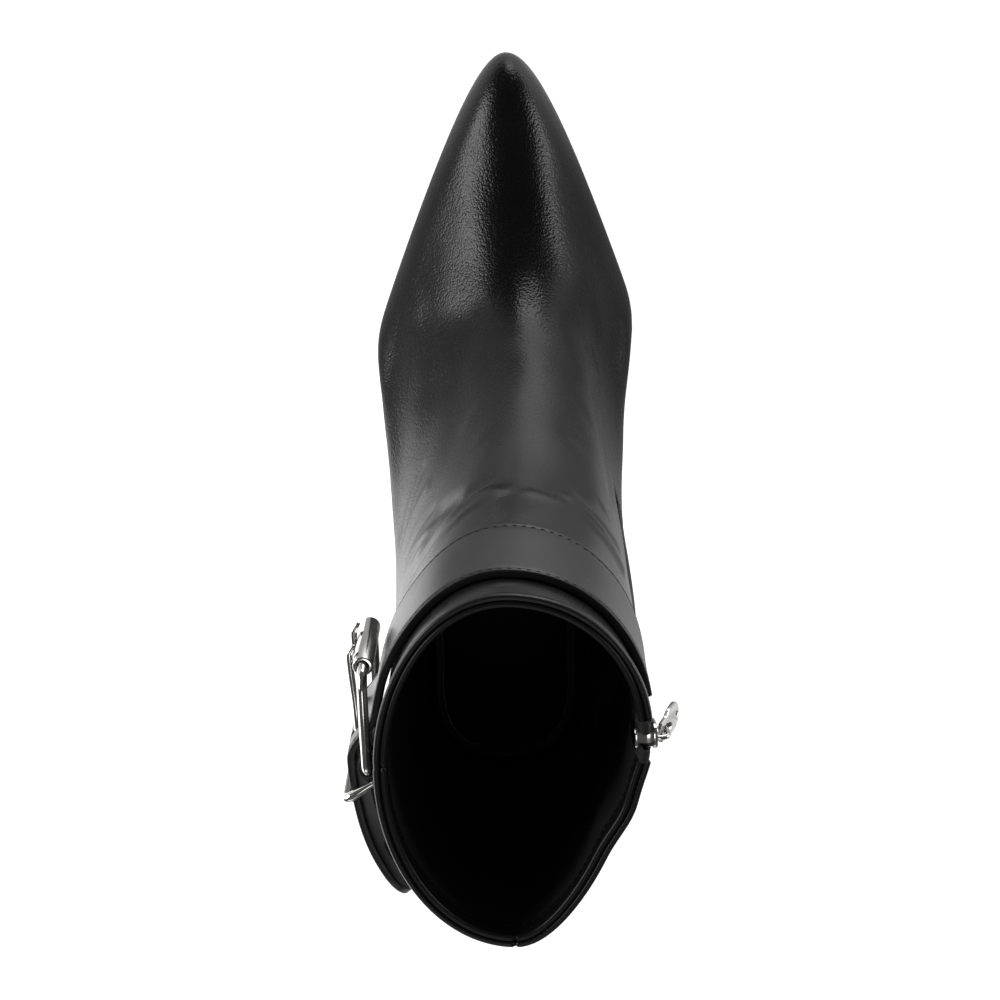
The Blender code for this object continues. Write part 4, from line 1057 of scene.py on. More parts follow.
def make_buckle_strap(finish, buckle):
    """The short strap with its eye round the hinge bar, and the two lines that it is sewn along."""
    start = ZIP_ANGLE + ZIP_HALF_ANGLE + STRAP_END_GAP
    scale = float(mm_per_radian(STRAP_MIDDLE, HINGE_ANGLE))
    start_scale = float(mm_per_radian(STRAP_MIDDLE, start))
    hinge = 2 * math.pi + HINGE_ANGLE
    eye_start = hinge - 2 * EYE_RADIUS / scale
    middle = np.arange(start + END_START, eye_start, STRAP_STEP)
    body = np.concatenate([start + END_STEPS / start_scale, middle])
    swell = np.linspace(eye_start, hinge, EYE_SWELL_STEPS)
    cap = hinge + EYE_RADIUS * np.sin(EYE_CAP) / scale
    cut = end_shape((body - start) * start_scale)
    share = ease((swell - eye_start) / (hinge - eye_start))
    thicks = np.concatenate([
        STRAP_THICK - END_THIN * cut,
        mix(STRAP_THICK, 2 * EYE_RADIUS, share),
        2 * EYE_RADIUS * np.cos(EYE_CAP),
    ])
    lifts = np.concatenate([
        glide(body, BUCKLE_STRAP_LIFTS) + END_LIFT * cut,
        np.full(len(swell), BUCKLE_STRAP_LIFT),
        HINGE_LIFT - EYE_RADIUS * np.cos(EYE_CAP),
    ])
    halves = np.concatenate([STRAP_HALF - cut, np.full(len(swell) + len(cap), STRAP_HALF)])
    angles = np.concatenate([body, swell, cap])
    strap = strap_piece("buckle_strap_leather", angles, lifts, thicks, halves, finish)
    reach = STRAP_HALF + EYE_RADIUS
    hole = rod(buckle.at(0.0, np.array([-reach, reach]), 0.0), BAR_RADIUS + GAP, EYE_SIDES)
    boolean(strap, loft("bar_hole", hole, finish))
    deep = EYE_RADIUS + PRONG_EYE
    for spread in (-PRONG_SPREAD, PRONG_SPREAD):
        sections = []
        for along in (-EYE_RADIUS - PRONG_SLOT_OVER, EYE_RADIUS + PRONG_SLOT_OVER):
            u = spread + PRONG_SLOT / 2 * np.array([-1, 1, 1, -1])
            sections.append(buckle.at(along, u, deep * np.array([-1, -1, 1, 1])))
        boolean(strap, loft("prong_slot", sections, finish))
    strap.data.set_sharp_from_angle(angle=math.radians(STRAP_SHARP))
    dress(strap, "black_leather", "buckle_strap")
    line = np.linspace(start + 2 * END_START, eye_start - SEAM_END, SEAM_POINTS)
    seams = []
    for side in (-1, 1):
        level = np.full(SEAM_POINTS, STRAP_MIDDLE + side * (STRAP_HALF - STRAP_SEAM))
        seams.append(strap_line(level, line, glide(line, BUCKLE_STRAP_LIFTS)))
    return seams


def rounded_loop(half_a, half_b, corners, steps=9):
    """A rounded rectangle as rows of pairs, with the corner radius of its far and of its near end."""
    turn = np.linspace(0, math.pi / 2, steps)
    arc = np.stack([np.cos(turn), np.sin(turn)], axis=1)
    loop = []
    for quarter, (sign_a, sign_b) in enumerate(((1, 1), (-1, 1), (-1, -1), (1, -1))):
        corner = corners[0] if sign_a > 0 else corners[1]
        bow = corner * arc[:: 1 if quarter % 2 == 0 else -1] * (sign_a, sign_b)
        loop.append(bow + np.array([sign_a * (half_a - corner), sign_b * (half_b - corner)]))
    return np.concatenate(loop)


# Buckle: sections of its bars, the roller's rounded ends, and the keeper's bar, which is stouter on its face
KEEPER_FACE_RADIUS = 1.5
KEEPER_SWELL = 0.75
BAR_SIDES = 20
BAR_SQUARE = 2.5
ROLLER_SIDES = 72
ROLLER_EDGE = 0.55
ROLLER_BORE_EDGE = 0.2
PRONG_STEPS = 90
FRAME_HALF = STRAP_HALF + FRAME_MARGIN + BAR_RADIUS


def make_wire_loop(name, path, radius, metal, node):
    bar = rod(path, radius, BAR_SIDES, closed=True, square=BAR_SQUARE)
    dress(loft(name, bar, metal, closed=True), "nickel_metal", node)


def make_frame(metal, place):
    half_along = place.length / 2
    loop = rounded_loop(half_along, FRAME_HALF, FRAME_CORNERS)
    path = place.at(half_along + loop[:, 0], loop[:, 1], 0.0)
    make_wire_loop("buckle_frame_bar", path, BAR_RADIUS, metal, "buckle_frame")


def make_roller(metal, place):
    half = FRAME_HALF - FRAME_CORNERS[0] - GAP
    bore = BAR_RADIUS + GAP
    wide = bore + ROLLER_BORE_EDGE
    turn = np.linspace(0, math.pi / 2, ARC_STEPS)
    edge_radius = ROLLER_RADIUS - ROLLER_EDGE * (1 - np.sin(turn))
    edge_up = half - ROLLER_EDGE * (1 - np.cos(turn))
    inside = half - ROLLER_BORE_EDGE
    radius = np.concatenate([edge_radius, edge_radius[::-1], [wide, bore, bore, wide]])[:, None]
    up = np.concatenate([-edge_up, edge_up[::-1], [half, inside, -inside, -half]])[:, None]
    turns = np.linspace(0, 2 * math.pi, ROLLER_SIDES, endpoint=False)[None, :]
    rings = place.at(place.length + radius * np.cos(turns), up, radius * np.sin(turns))
    roller = loft("buckle_roller_tube", rings, metal, closed=True)
    dress(roller, "nickel_metal", "buckle_roller", body="roller")


def make_prongs(metal, place):
    wrap = BAR_RADIUS + GAP + PRONG_EYE
    over = ROLLER_RADIUS + GAP + PRONG_RADIUS
    turns = np.radians(np.linspace(*PRONG_EYE_TURN, PRONG_EYE_STEPS))
    rows = [(wrap * math.cos(t), wrap * math.sin(t), PRONG_EYE) for t in turns]
    for step in PRONG:
        along = step.along + (place.length if step.from_roller else 0.0)
        height = mix(wrap, over, min(along / place.length, 1.0)) + step.over
        rows.append((along, height, PRONG_RADIUS * step.radius))
    rows = smooth_path(rows, PRONG_STEPS)
    for name, spread in (("buckle_prong_upper", PRONG_SPREAD), ("buckle_prong_lower", -PRONG_SPREAD)):
        path, size = round_ends(place.at(rows[:, 0], spread, rows[:, 1]), rows[:, 2])
        dress(loft(name + "_pin", rod(path, size, BAR_SIDES), metal), "nickel_metal", name)


def make_keeper(metal):
    keeper = Place(STRAP_MIDDLE, KEEPER_ANGLE)
    inner = KEEPER_CLEAR + KEEPER_INNER_RADIUS
    outer = OVER_LIFT + STRAP_THICK + KEEPER_ROOM + KEEPER_RADIUS
    half_up = STRAP_HALF + KEEPER_SIDE_GAP + KEEPER_RADIUS
    half_out = (outer - inner) / 2
    side, over = rounded_loop(half_up, half_out, (KEEPER_CORNER, KEEPER_CORNER)).T
    path = keeper.at(-over * math.tan(KEEPER_TILT), side, inner + half_out + over)
    swell = np.clip((over / half_out + 1) * KEEPER_SWELL, 0, 1)
    radius = mix(KEEPER_INNER_RADIUS, KEEPER_FACE_RADIUS, swell)
    make_wire_loop("strap_keeper_loop", path, radius, metal, "strap_keeper")


# Zip: woven tape, two rows of coil teeth, folded tape ends, slider, pull, and the sewn line round the slot
TAPE_ROWS = 110
TAPE_ACROSS = 12
TAPE_EDGE_GAP = 0.4
TAPE_GROOVE = 0.25
TAPE_GROOVE_AT = 0.72
TAPE_GROOVE_HALF = 0.08
TOOTH_PITCH = 1.3
TOOTH_RADIUS = 0.52
TOOTH_OVERLAP = 0.55
TOOTH_LIFTS = np.array([-0.23, -0.35, -0.53])
TOOTH_SIDES = 8
TOOTH_END_STEPS = 2
TAPE_END_WIDTH = 4.4
TAPE_END_THICK = 1.1
TAPE_END_TURN = 0.072
TAPE_END_FLARE = 0.5
TAPE_END_FOLD = 1.0
TAPE_END_SIDES = 20
TAPE_END_ROUND = 3.0
TAPE_END_STEPS = 6
SLIDER_ROUND = 3.4
SLIDER_TAPER = 0.12
SLIDER_BEVEL = 0.4
SLIDER_SIDES = 40
BRIDGE_INSET = 0.9
BRIDGE_PLAY = 0.1
BRIDGE_LAP = 0.5
BRIDGE_BEVEL = 0.1
BAIL_STEPS = 48
SQUARE_ROUND = 4.0
PULL_CORNER = 0.3
PULL_SHOULDER = (3.9, 8.4)
PULL_SHOULDER_STEPS = 8
PULL_TIP_STEPS = 25
PULL_BEVEL = 0.28
PULL_TIP_HOLE = 0.9
PULL_TIP_HOLE_IN = 2.6
PLATE_SHARP = 35.0
PLATE_STEPS = 4
ZIP_TOP = COLLAR - ZIP_TOP_DROP
ZIP_LOW = LEVEL["instep"] + ZIP_END_GAP
ZIP_SEAM = 1.8
ZIP_SEAM_SINK = 0.3
ZIP_SEAM_TOP = 4.5
ZIP_SEAM_ROWS = 300
ZIP_SEAM_ACROSS = 40

# The folded tape end: places from the collar and heights of front foot, centre of the fold and rear foot
TapeEnd = namedtuple("TapeEnd", "row lift")
TAPE_END_FRONT = TapeEnd(-9.0, -1.5)
TAPE_END_TOP = TapeEnd(-0.6, -1.7)
TAPE_END_BACK = TapeEnd(-7.0, -3.0)


def plate(name, outline, low, high, bevel, place_at, finish):
    """A flat piece with rounded edges from an outline of pairs."""
    outline = np.asarray(outline, float)
    ahead = unit(np.roll(outline, -1, 0) - outline)
    behind = unit(outline - np.roll(outline, 1, 0))
    normal = unit(np.stack([-(ahead + behind)[:, 1], (ahead + behind)[:, 0]], axis=1))
    turn = np.linspace(0, math.pi / 2, PLATE_STEPS)
    inset = bevel * (1 - np.sin(turn))
    rise = bevel * (1 - np.cos(turn))
    depths = np.concatenate([low + rise, (high - rise)[::-1]])
    insets = np.concatenate([inset, inset[::-1]])
    sections = []
    for depth, cut in zip(depths, insets):
        ring = outline + normal * cut
        sections.append(place_at(ring[:, 0], ring[:, 1], depth))
    return loft(name, sections, finish, sharp=PLATE_SHARP)


def rounded_plate(half_a, half_b, power, taper=0.0, sides=SLIDER_SIDES):
    """A rounded rectangle as pairs, running against the clock, wider at its upper end with a taper."""
    turn = np.linspace(0, 2 * math.pi, sides, endpoint=False)
    a = np.sign(np.cos(turn)) * np.abs(np.cos(turn)) ** (2 / power)
    b = np.sign(np.sin(turn)) * np.abs(np.sin(turn)) ** (2 / power)
    return np.stack([half_a * a * (1 + taper * b), half_b * b], axis=1)


def make_tape(tape):
    levels = np.linspace(ZIP_LOW, ZIP_TOP, TAPE_ROWS)
    edge = ZIP_HALF_ANGLE - TAPE_EDGE_GAP / mm_per_radian(levels, ZIP_ANGLE)
    row = np.linspace(-1, 1, TAPE_ACROSS)
    across = np.concatenate([row, row[::-1]])
    lift = np.repeat([-TAPE_DEPTH, -TAPE_DEPTH - TAPE_THICK], TAPE_ACROSS)
    lift = lift - TAPE_GROOVE * bump(np.abs(across) - TAPE_GROOVE_AT, TAPE_GROOVE_HALF)
    angles = ZIP_ANGLE + across[None, :] * edge[:, None]
    dress(loft("zip_tape", skin(levels[:, None], angles, lift[None, :]), tape), "zip_tape", "zip_chain")


def make_teeth(coil):
    teeth = []
    for k in range(int((ZIP_TOP - ZIP_LOW - 2 * TOOTH_RADIUS) / TOOTH_PITCH)):
        for side in (-1, 1):
            level = ZIP_LOW + TOOTH_RADIUS + TOOTH_PITCH * (k + (0.5 if side > 0 else 0.0))
            reach = np.array([-TOOTH_OVERLAP, CHAIN_HALF / 2, CHAIN_HALF - TOOTH_RADIUS]) * side
            path = skin(level, ZIP_ANGLE + reach / float(mm_per_radian(level, ZIP_ANGLE)), TOOTH_LIFTS)
            path, radius = round_ends(path, TOOTH_RADIUS, TOOTH_END_STEPS)
            teeth.append(rod(path, radius, TOOTH_SIDES))
    dress(add_rods("zip_teeth", teeth, coil), "zip_tape")


def make_tape_ends(tape):
    front, top, back = TAPE_END_FRONT, TAPE_END_TOP, TAPE_END_BACK
    turn = np.linspace(0, math.pi, 9)[1:]
    rows = np.concatenate([
        np.linspace(front.row, top.row, TAPE_END_STEPS),
        top.row + TAPE_END_FOLD * np.sin(turn),
        np.linspace(top.row, back.row, TAPE_END_STEPS)[1:],
    ])
    lifts = np.concatenate([
        np.linspace(front.lift, top.lift + TAPE_END_FOLD, TAPE_END_STEPS),
        top.lift + TAPE_END_FOLD * np.cos(turn),
        np.linspace(top.lift - TAPE_END_FOLD, back.lift, TAPE_END_STEPS)[1:],
    ])
    section = rounded_plate(TAPE_END_WIDTH / 2, TAPE_END_THICK / 2, TAPE_END_ROUND, sides=TAPE_END_SIDES)
    for name, side in (("front", -1), ("rear", 1)):
        angle = ZIP_ANGLE + side * (TAPE_END_TURN + SLOT_FLARE * TAPE_END_FLARE)
        path = skin(COLLAR + rows, angle, lifts)
        along = Place(COLLAR, angle).along
        thick = unit(np.cross(unit(np.gradient(path, axis=0)), along))
        rings = path[:, None] + section[None, :, :1] * along + section[None, :, 1:] * thick[:, None]
        dress(loft("zip_tape_end_" + name, rings, tape), "zip_tape")


def make_slider(metal, place):
    half = SLIDER_LENGTH / 2
    outline = rounded_plate(SLIDER_WIDTH / 2, half, SLIDER_ROUND, SLIDER_TAPER)
    front = SLIDER_FRONT - SLIDER_PLATE
    slider = plate("zip_slider_body", outline, front, SLIDER_FRONT, SLIDER_BEVEL, place.at, metal)
    back = SLIDER_BACK + SLIDER_PLATE
    boolean(slider, plate("back", outline, SLIDER_BACK, back, SLIDER_BEVEL, place.at, metal), "UNION")
    bridge = SLIDER_DROP - ZIP_TOP_DROP + 3 * GAP
    neck = rounded_plate(SLIDER_WIDTH / 2 - BRIDGE_INSET, (half - bridge) / 2 - BRIDGE_PLAY, SQUARE_ROUND)
    neck = neck + (0.0, (half + bridge) / 2)
    low, high = SLIDER_BACK + BRIDGE_LAP, SLIDER_FRONT - BRIDGE_LAP
    boolean(slider, plate("bridge", neck, low, high, BRIDGE_BEVEL, place.at, metal), "UNION")
    path = smooth_path([(step.up, SLIDER_FRONT + BAIL_RISE - step.drop, 0.0) for step in BAIL], BAIL_STEPS)
    path = place.at(0.0, path[:, 0], path[:, 1])
    boolean(slider, loft("bail", rod(path, BAIL_RADIUS, BAR_SIDES), metal), "UNION")
    dress(slider, "nickel_metal", "zip_slider")


def make_pull(metal, place):
    hinge = place.at(0.0, PULL_AXIS_UP, SLIDER_FRONT + PULL_AXIS_RISE)
    down = place.out * math.sin(PULL_ANGLE) - place.up * math.cos(PULL_ANGLE)
    face = place.out * math.cos(PULL_ANGLE) + place.up * math.sin(PULL_ANGLE)

    def on_pull(a, p, n):
        a, p, n = (np.asarray(v, float)[..., None] for v in np.broadcast_arrays(a, p, n))
        return hinge + place.along * a + down * p + face * n

    bar = PULL_THICK / 2
    neck, wide = PULL_NECK / 2, PULL_WIDTH / 2
    turn = np.linspace(0, math.pi, PULL_TIP_STEPS)
    share = np.linspace(0, 1, PULL_SHOULDER_STEPS)
    shoulder = np.stack([mix(neck, wide, ease(share)), mix(*PULL_SHOULDER, share)], axis=1)
    outline = np.concatenate([
        [(-neck + PULL_CORNER, -bar), (neck - PULL_CORNER, -bar), (neck, PULL_CORNER - bar)],
        shoulder,
        np.stack([wide * np.cos(turn), PULL_LENGTH - wide + wide * np.sin(turn)], axis=1),
        shoulder[::-1] * (-1, 1),
        [(-neck, PULL_CORNER - bar)],
    ])
    pull = plate("zip_pull_tab", outline, -bar, bar, PULL_BEVEL, on_pull, metal)
    hole = rounded_plate(PULL_HOLE_WIDTH / 2, PULL_HOLE / 2, SQUARE_ROUND) + (0.0, bar + PULL_HOLE / 2)
    tip = rounded_plate(PULL_TIP_HOLE, PULL_TIP_HOLE, 2.0) + (0.0, PULL_LENGTH - PULL_TIP_HOLE_IN)
    for ring in (hole, tip):
        sections = [on_pull(ring[:, 0], ring[:, 1], depth) for depth in (-PULL_THICK, PULL_THICK)]
        boolean(pull, loft("pull_hole", sections, metal))
    dress(pull, "nickel_metal", "zip_pull", body="pull_tab")


def zip_seam():
    """A sewn line beside the zip, from the collar down, across under it and up again."""
    side = ZIP_SEAM / mm_per_radian(COLLAR, ZIP_ANGLE) + ZIP_HALF_ANGLE
    low = LEVEL["instep"] - ZIP_SEAM
    rows = np.linspace(COLLAR - ZIP_SEAM_TOP, low, ZIP_SEAM_ROWS)
    across = np.linspace(-side, side, ZIP_SEAM_ACROSS)
    level = np.concatenate([rows, np.full(ZIP_SEAM_ACROSS, low), rows[::-1]])
    angle = ZIP_ANGLE + np.concatenate([np.full(ZIP_SEAM_ROWS, -side), across, np.full(ZIP_SEAM_ROWS, side)])
    angle = angle + slot_flare(level, angle)
    point, out = skin_frame(level, angle)
    lift = leather_relief(level, point) - ZIP_SEAM_SINK
    return point + out * lift[:, None], out


# Sole and heel: edge line of the sole, tread grooves, and the heel's finer sections
SOLE_STEPS = 150
SOLE_ACROSS = 17
TREAD_FROM = 134.0
TREAD_TO = 206.0
TREAD_OVER = 1.0
TREAD_PITCH = 4.5
TREAD_DEPTH = 0.6
TREAD_HALF = 0.75
TREAD_MARGIN = 0.12
TREAD_COLUMNS = (-1.1, -0.9, -0.5, 0.5, 0.9, 1.1)
INSOLE_ROUND = 0.6
HEEL_STEPS = 64
HEEL_SIDES = 72
SEAT_POWER = 8
TIP_FOOT_ROUND = 0.5
TIP_TOP_ROUND = 0.3

# The sole's upper edge: insets and depths of its rows, with the line that is cut round it
WELT = [(0.1, 0.0), (0.0, 0.15), (0.0, 0.7), (0.3, 0.9), (0.0, 1.1)]


def feather_line(angles, inset):
    """The upper's feather edge from above, moved inwards by an inset."""
    point = ring_points(0, angles)[:, :2]
    ahead = ring_points(0, angles + AROUND_PROBE)[:, :2] - ring_points(0, angles - AROUND_PROBE)[:, :2]
    normal = unit(np.stack([-ahead[:, 1], ahead[:, 0]], axis=-1))
    return point - normal * inset * np.sign(normal[:, 1:2] * np.sin(angles)[:, None])


def sole_plate(name, angles, edge, finish, tread=False):
    """A plate under the foot: edge gives insets and heights over the feather edge from top to bottom."""
    sides = []
    for line_angles in (angles, 2 * math.pi - angles):
        lines = []
        for inset, rise in edge:
            line = feather_line(line_angles, inset)
            lines.append(np.column_stack([line, np.maximum(bottom_z(line[:, 0]) + rise, 0.0)]))
        sides.append(np.stack(lines, axis=1))
    outer, inner = sides
    share = np.linspace(0, 1, SOLE_ACROSS)[None, 1:-1, None]
    under = mix(outer[:, -1:], inner[:, -1:], share)
    over = mix(inner[:, :1], outer[:, :1], share)
    for rows, rise in ((under, edge[-1][1]), (over, edge[0][1])):
        rows[..., 2] = np.maximum(bottom_z(rows[..., 0].ravel()).reshape(rows.shape[:2]) + rise, 0.0)
    if tread:
        phase = (under[..., 0] - TREAD_FROM + TREAD_PITCH / 2) % TREAD_PITCH - TREAD_PITCH / 2
        inside = ease(share[..., 0] / TREAD_MARGIN) * ease((1 - share[..., 0]) / TREAD_MARGIN)
        field = (under[..., 0] > TREAD_FROM - TREAD_OVER) & (under[..., 0] < TREAD_TO + TREAD_OVER)
        under[..., 2] += TREAD_DEPTH * (np.abs(phase) < TREAD_HALF) * inside * field
    return loft(name, np.concatenate([outer, under, inner[:, ::-1], over], axis=1), finish)


def make_outsole(rubber):
    low = -GAP - SOLE_THICK
    edge = [(SOLE_INSET + inset, -GAP - depth) for inset, depth in WELT]
    for turn in np.linspace(0, math.pi / 2, ARC_STEPS):
        inset = SOLE_BEVEL * (1 - math.cos(turn))
        edge.append((SOLE_INSET + inset, low + SOLE_BEVEL * (1 - math.sin(turn))))
    along = np.arange(TREAD_FROM, TREAD_TO, TREAD_PITCH)
    cuts = (along[:, None] + np.array(TREAD_COLUMNS) * TREAD_HALF).ravel()
    feather = RINGS[0]
    share = (cuts - feather.back_x) / (feather.front_x - feather.back_x)
    angles = np.linspace(SOLE_END_ANGLE, math.pi - SOLE_END_ANGLE, SOLE_STEPS)
    angles = np.sort(np.concatenate([angles, np.arccos(1 - 2 * share)]))
    dress(sole_plate("outsole_tread", angles, edge, rubber, tread=True), "sole_rubber", "outsole")


def make_insole(lining):
    inner = WALL + INSOLE_CLEAR
    edge = []
    for turn in np.linspace(0, math.pi / 2, ARC_STEPS):
        inset = INSOLE_ROUND * (1 - math.sin(turn))
        edge.append((inner + inset, INSOLE_THICK - INSOLE_ROUND * (1 - math.cos(turn))))
    edge.append((inner, 0.0))
    angles = np.linspace(INSOLE_BACK_ANGLE, math.pi - INSOLE_FRONT_ANGLE, SOLE_STEPS)
    dress(sole_plate("insole_sock", angles, edge, lining), "insole_lining", "insole")


def heel_rings(shares, base):
    """Sections of the heel, its heights following the sole's underside."""
    table = np.array(HEEL[::-1])
    _, back, front, half, seat_mix = read_spline(table[:, 0], table, shares).T[:, :, None]
    feather = RINGS[0]
    turn = np.linspace(0, 2 * math.pi, HEEL_SIDES, endpoint=False)[None, :]
    along = (1 - np.cos(turn)) / 2
    top = HEEL[0]
    seat_x = mix(top.back, top.front, along)
    seat_at = (seat_x - feather.back_x) / (feather.front_x - feather.back_x)
    seat = half_width(OUTER[0], seat_at) - SOLE_INSET - SOLE_BEVEL - GAP
    seat = seat / top.half * half * np.sqrt(np.maximum(1 - along**SEAT_POWER, 0))
    y = np.where(np.sin(turn) >= 0, 1, -1) * mix(half * np.abs(np.sin(turn)), seat, np.clip(seat_mix, 0, 1))
    under = bottom_z(seat_x[0])[None, :] - 2 * GAP - SOLE_THICK
    z = base + (under - base) * shares[:, None]
    return np.stack(np.broadcast_arrays(mix(back, front, along), y, z), axis=-1)


def make_heel(cover, rubber):
    rings = heel_rings(np.linspace(0, 1, HEEL_STEPS), TIP_HEIGHT + GAP)
    dress(loft("heel_cover_leather", rings, cover), "heel_cover", "heel")
    foot = rings[0]
    centre = foot.mean(axis=0)
    turn = np.linspace(0, math.pi / 2, ARC_STEPS)
    low, high = TIP_FOOT_ROUND, TIP_TOP_ROUND
    heights = np.concatenate([low * (1 - np.sin(turn[::-1])), TIP_HEIGHT - high * (1 - np.sin(turn))])
    insets = np.concatenate([low * (1 - np.cos(turn[::-1])), high * (1 - np.cos(turn))])
    reach = np.linalg.norm((foot - centre)[:, :2], axis=1).mean()
    sections = []
    for height, inset in zip(heights, insets):
        ring = centre + (foot - centre) * (1 - inset / reach)
        ring[:, 2] = height
        sections.append(ring)
    dress(loft("heel_tip_rubber", sections, rubber), "tip_rubber", "heel_tip")


def add_node(tree, kind, **inputs):
    """A node with values or links set on its inputs by name, and other settings with a leading underscore."""
    node = tree.nodes.new(kind)
    for key, value in inputs.items():
        if key.startswith("_"):
            setattr(node, key[1:], value)
    for key, value in inputs.items():
        if key.startswith("_"):
            continue
        socket = node.inputs[int(key[1:])] if key[1:].isdigit() else node.inputs[key.replace("_", " ")]
        if isinstance(value, bpy.types.NodeSocket):
            tree.links.new(value, socket)
        else:
            socket.default_value = value
    return node


def math_node(tree, operation, a, b=0.0):
    return add_node(tree, "ShaderNodeMath", _operation=operation, s0=a, s1=b).outputs[0]


def remap(tree, value, low, high, to_low, to_high, smooth=False):
    node = add_node(
        tree, "ShaderNodeMapRange", Value=value, From_Min=low, From_Max=high, To_Min=to_low, To_Max=to_high,
        _interpolation_type="SMOOTHSTEP" if smooth else "LINEAR",
    )
    return node.outputs[0]


def new_group(name, inputs, outputs):
    """An empty shader group with value sockets, and a vector socket for each input named Vector."""
    tree = bpy.data.node_groups.new(name, "ShaderNodeTree")
    for socket, default in inputs:
        kind = "NodeSocketVector" if socket == "Vector" else "NodeSocketFloat"
        made = tree.interface.new_socket(socket, in_out="INPUT", socket_type=kind)
        if default is not None:
            made.default_value = default
    for socket in outputs:
        tree.interface.new_socket(socket, in_out="OUTPUT", socket_type="NodeSocketFloat")
    return tree, tree.nodes.new("NodeGroupInput"), tree.nodes.new("NodeGroupOutput")


def noise(tree, vector, scale, detail):
    return add_node(tree, "ShaderNodeTexNoise", Vector=vector, Scale=scale, Detail=detail).outputs


def voronoi(tree, vector, scale, feature, **inputs):
    node = add_node(tree, "ShaderNodeTexVoronoi", Vector=vector, Scale=scale, _feature=feature, **inputs)
    return node.outputs["Distance"]


def vector_node(tree, operation, **inputs):
    return add_node(tree, "ShaderNodeVectorMath", _operation=operation, **inputs).outputs[0]


# Grain: how the cells are warped, how high cells, small cells and slow waves are, and the creases' width
GRAIN_DRIFT = 0.45
GRAIN_SWAY = 0.0011
GRAIN_SMOOTH = 0.25
GRAIN_DOME = -1.8
GRAIN_FINE = 2.3
GRAIN_FINE_HEIGHT = -0.16
GRAIN_SLOW = 130.0
GRAIN_SLOW_HEIGHT = 0.8
GRAIN_SLOW_SHARE = (0.65, 1.0)
GRAIN_WIDE = 38.0
CREASE_EDGE = (0.02, 0.20)
NOISE_RANGE = (0.3, 0.7)


def leather_group():
    """Pebbled grain: rounded cells with fine creases between them, and a slow change of tone."""
    tree, given, made = new_group(
        "leather_grain", [("Vector", None), ("Cells", 1000.0)], ["Height", "Crease", "Tone"]
    )
    vector, cells = given.outputs["Vector"], given.outputs["Cells"]
    drift = noise(tree, vector, math_node(tree, "MULTIPLY", cells, GRAIN_DRIFT), 2.0)["Color"]
    offset = vector_node(tree, "SUBTRACT", s0=drift, s1=(0.5, 0.5, 0.5))
    sway = vector_node(tree, "SCALE", s0=offset, Scale=GRAIN_SWAY)
    warped = vector_node(tree, "ADD", s0=vector, s1=sway)
    off = voronoi(tree, warped, cells, "SMOOTH_F1", Smoothness=GRAIN_SMOOTH)
    dome = math_node(tree, "MULTIPLY", math_node(tree, "MULTIPLY", off, off), GRAIN_DOME)
    fine = voronoi(tree, warped, math_node(tree, "MULTIPLY", cells, GRAIN_FINE), "F1")
    small = math_node(tree, "MULTIPLY", fine, GRAIN_FINE_HEIGHT)
    slow = noise(tree, vector, GRAIN_SLOW, 0.0)[0]
    height = math_node(tree, "MULTIPLY", dome, remap(tree, slow, *NOISE_RANGE, *GRAIN_SLOW_SHARE))
    rest = math_node(tree, "ADD", small, math_node(tree, "MULTIPLY", slow, GRAIN_SLOW_HEIGHT))
    tree.links.new(math_node(tree, "ADD", height, rest), made.inputs["Height"])
    edge = voronoi(tree, warped, cells, "DISTANCE_TO_EDGE")
    tree.links.new(remap(tree, edge, *CREASE_EDGE, 1.0, 0.0, smooth=True), made.inputs["Crease"])
    wide = noise(tree, vector, GRAIN_WIDE, 2.0)[0]
    tree.links.new(remap(tree, wide, *NOISE_RANGE, 0.0, 1.0), made.inputs["Tone"])
    return tree


# Weave: how uneven the threads are, the heights that they run between, and the painted shade: how far the
# colour darkens in the low spots between threads
WEAVE_DISTORT = 0.6
WEAVE_RANGE = (0.4, 1.0)
WEAVE_PAINTED_SHADE = (0.6, 1.0)


def weave_group():
    """Crossed threads of a woven tape or lining, with painted shade in the low spots between them."""
    tree, given, made = new_group("weave", [("Vector", None), ("Threads", 1400.0)], ["Height", "Shade"])
    waves = []
    for direction in ("X", "Z", "Y"):
        wave = add_node(
            tree, "ShaderNodeTexWave", Vector=given.outputs["Vector"], Scale=given.outputs["Threads"],
            _bands_direction=direction, Distortion=WEAVE_DISTORT, Detail=1.0, Detail_Scale=2.0,
        )
        waves.append(wave.outputs["Fac"])
    height = math_node(tree, "MAXIMUM", math_node(tree, "MAXIMUM", waves[0], waves[1]), waves[2])
    tree.links.new(height, made.inputs["Height"])
    tree.links.new(remap(tree, height, *WEAVE_RANGE, *WEAVE_PAINTED_SHADE), made.inputs["Shade"])
    return tree


# Wear: how far the streaks are drawn out, the blotches' scale, and the range of the noise that is used
WEAR_SQUEEZE = (260.0, 2600.0, 420.0)
WEAR_BLOTCH = 240.0
WEAR_RANGE = (0.35, 0.65)


def wear_group():
    """Faint streaks and a soft blotch, for metal and rubber."""
    tree, given, made = new_group("wear", [("Vector", None)], ["Streak", "Blotch"])
    vector = given.outputs["Vector"]
    squeeze = add_node(tree, "ShaderNodeMapping", Vector=vector, Scale=WEAR_SQUEEZE).outputs[0]
    streak = noise(tree, squeeze, 1.0, 4.0)[0]
    tree.links.new(remap(tree, streak, *WEAR_RANGE, 0.0, 1.0), made.inputs["Streak"])
    blotch = noise(tree, vector, WEAR_BLOTCH, 3.0)[0]
    tree.links.new(remap(tree, blotch, *WEAR_RANGE, 0.0, 1.0), made.inputs["Blotch"])
    return tree


def new_material(name):
    material = bpy.data.materials.new(name)
    material.use_nodes = True
    tree = material.node_tree
    shader = tree.nodes["Principled BSDF"]
    coords = tree.nodes.new("ShaderNodeTexCoord").outputs["Object"]
    return material, tree, shader, coords


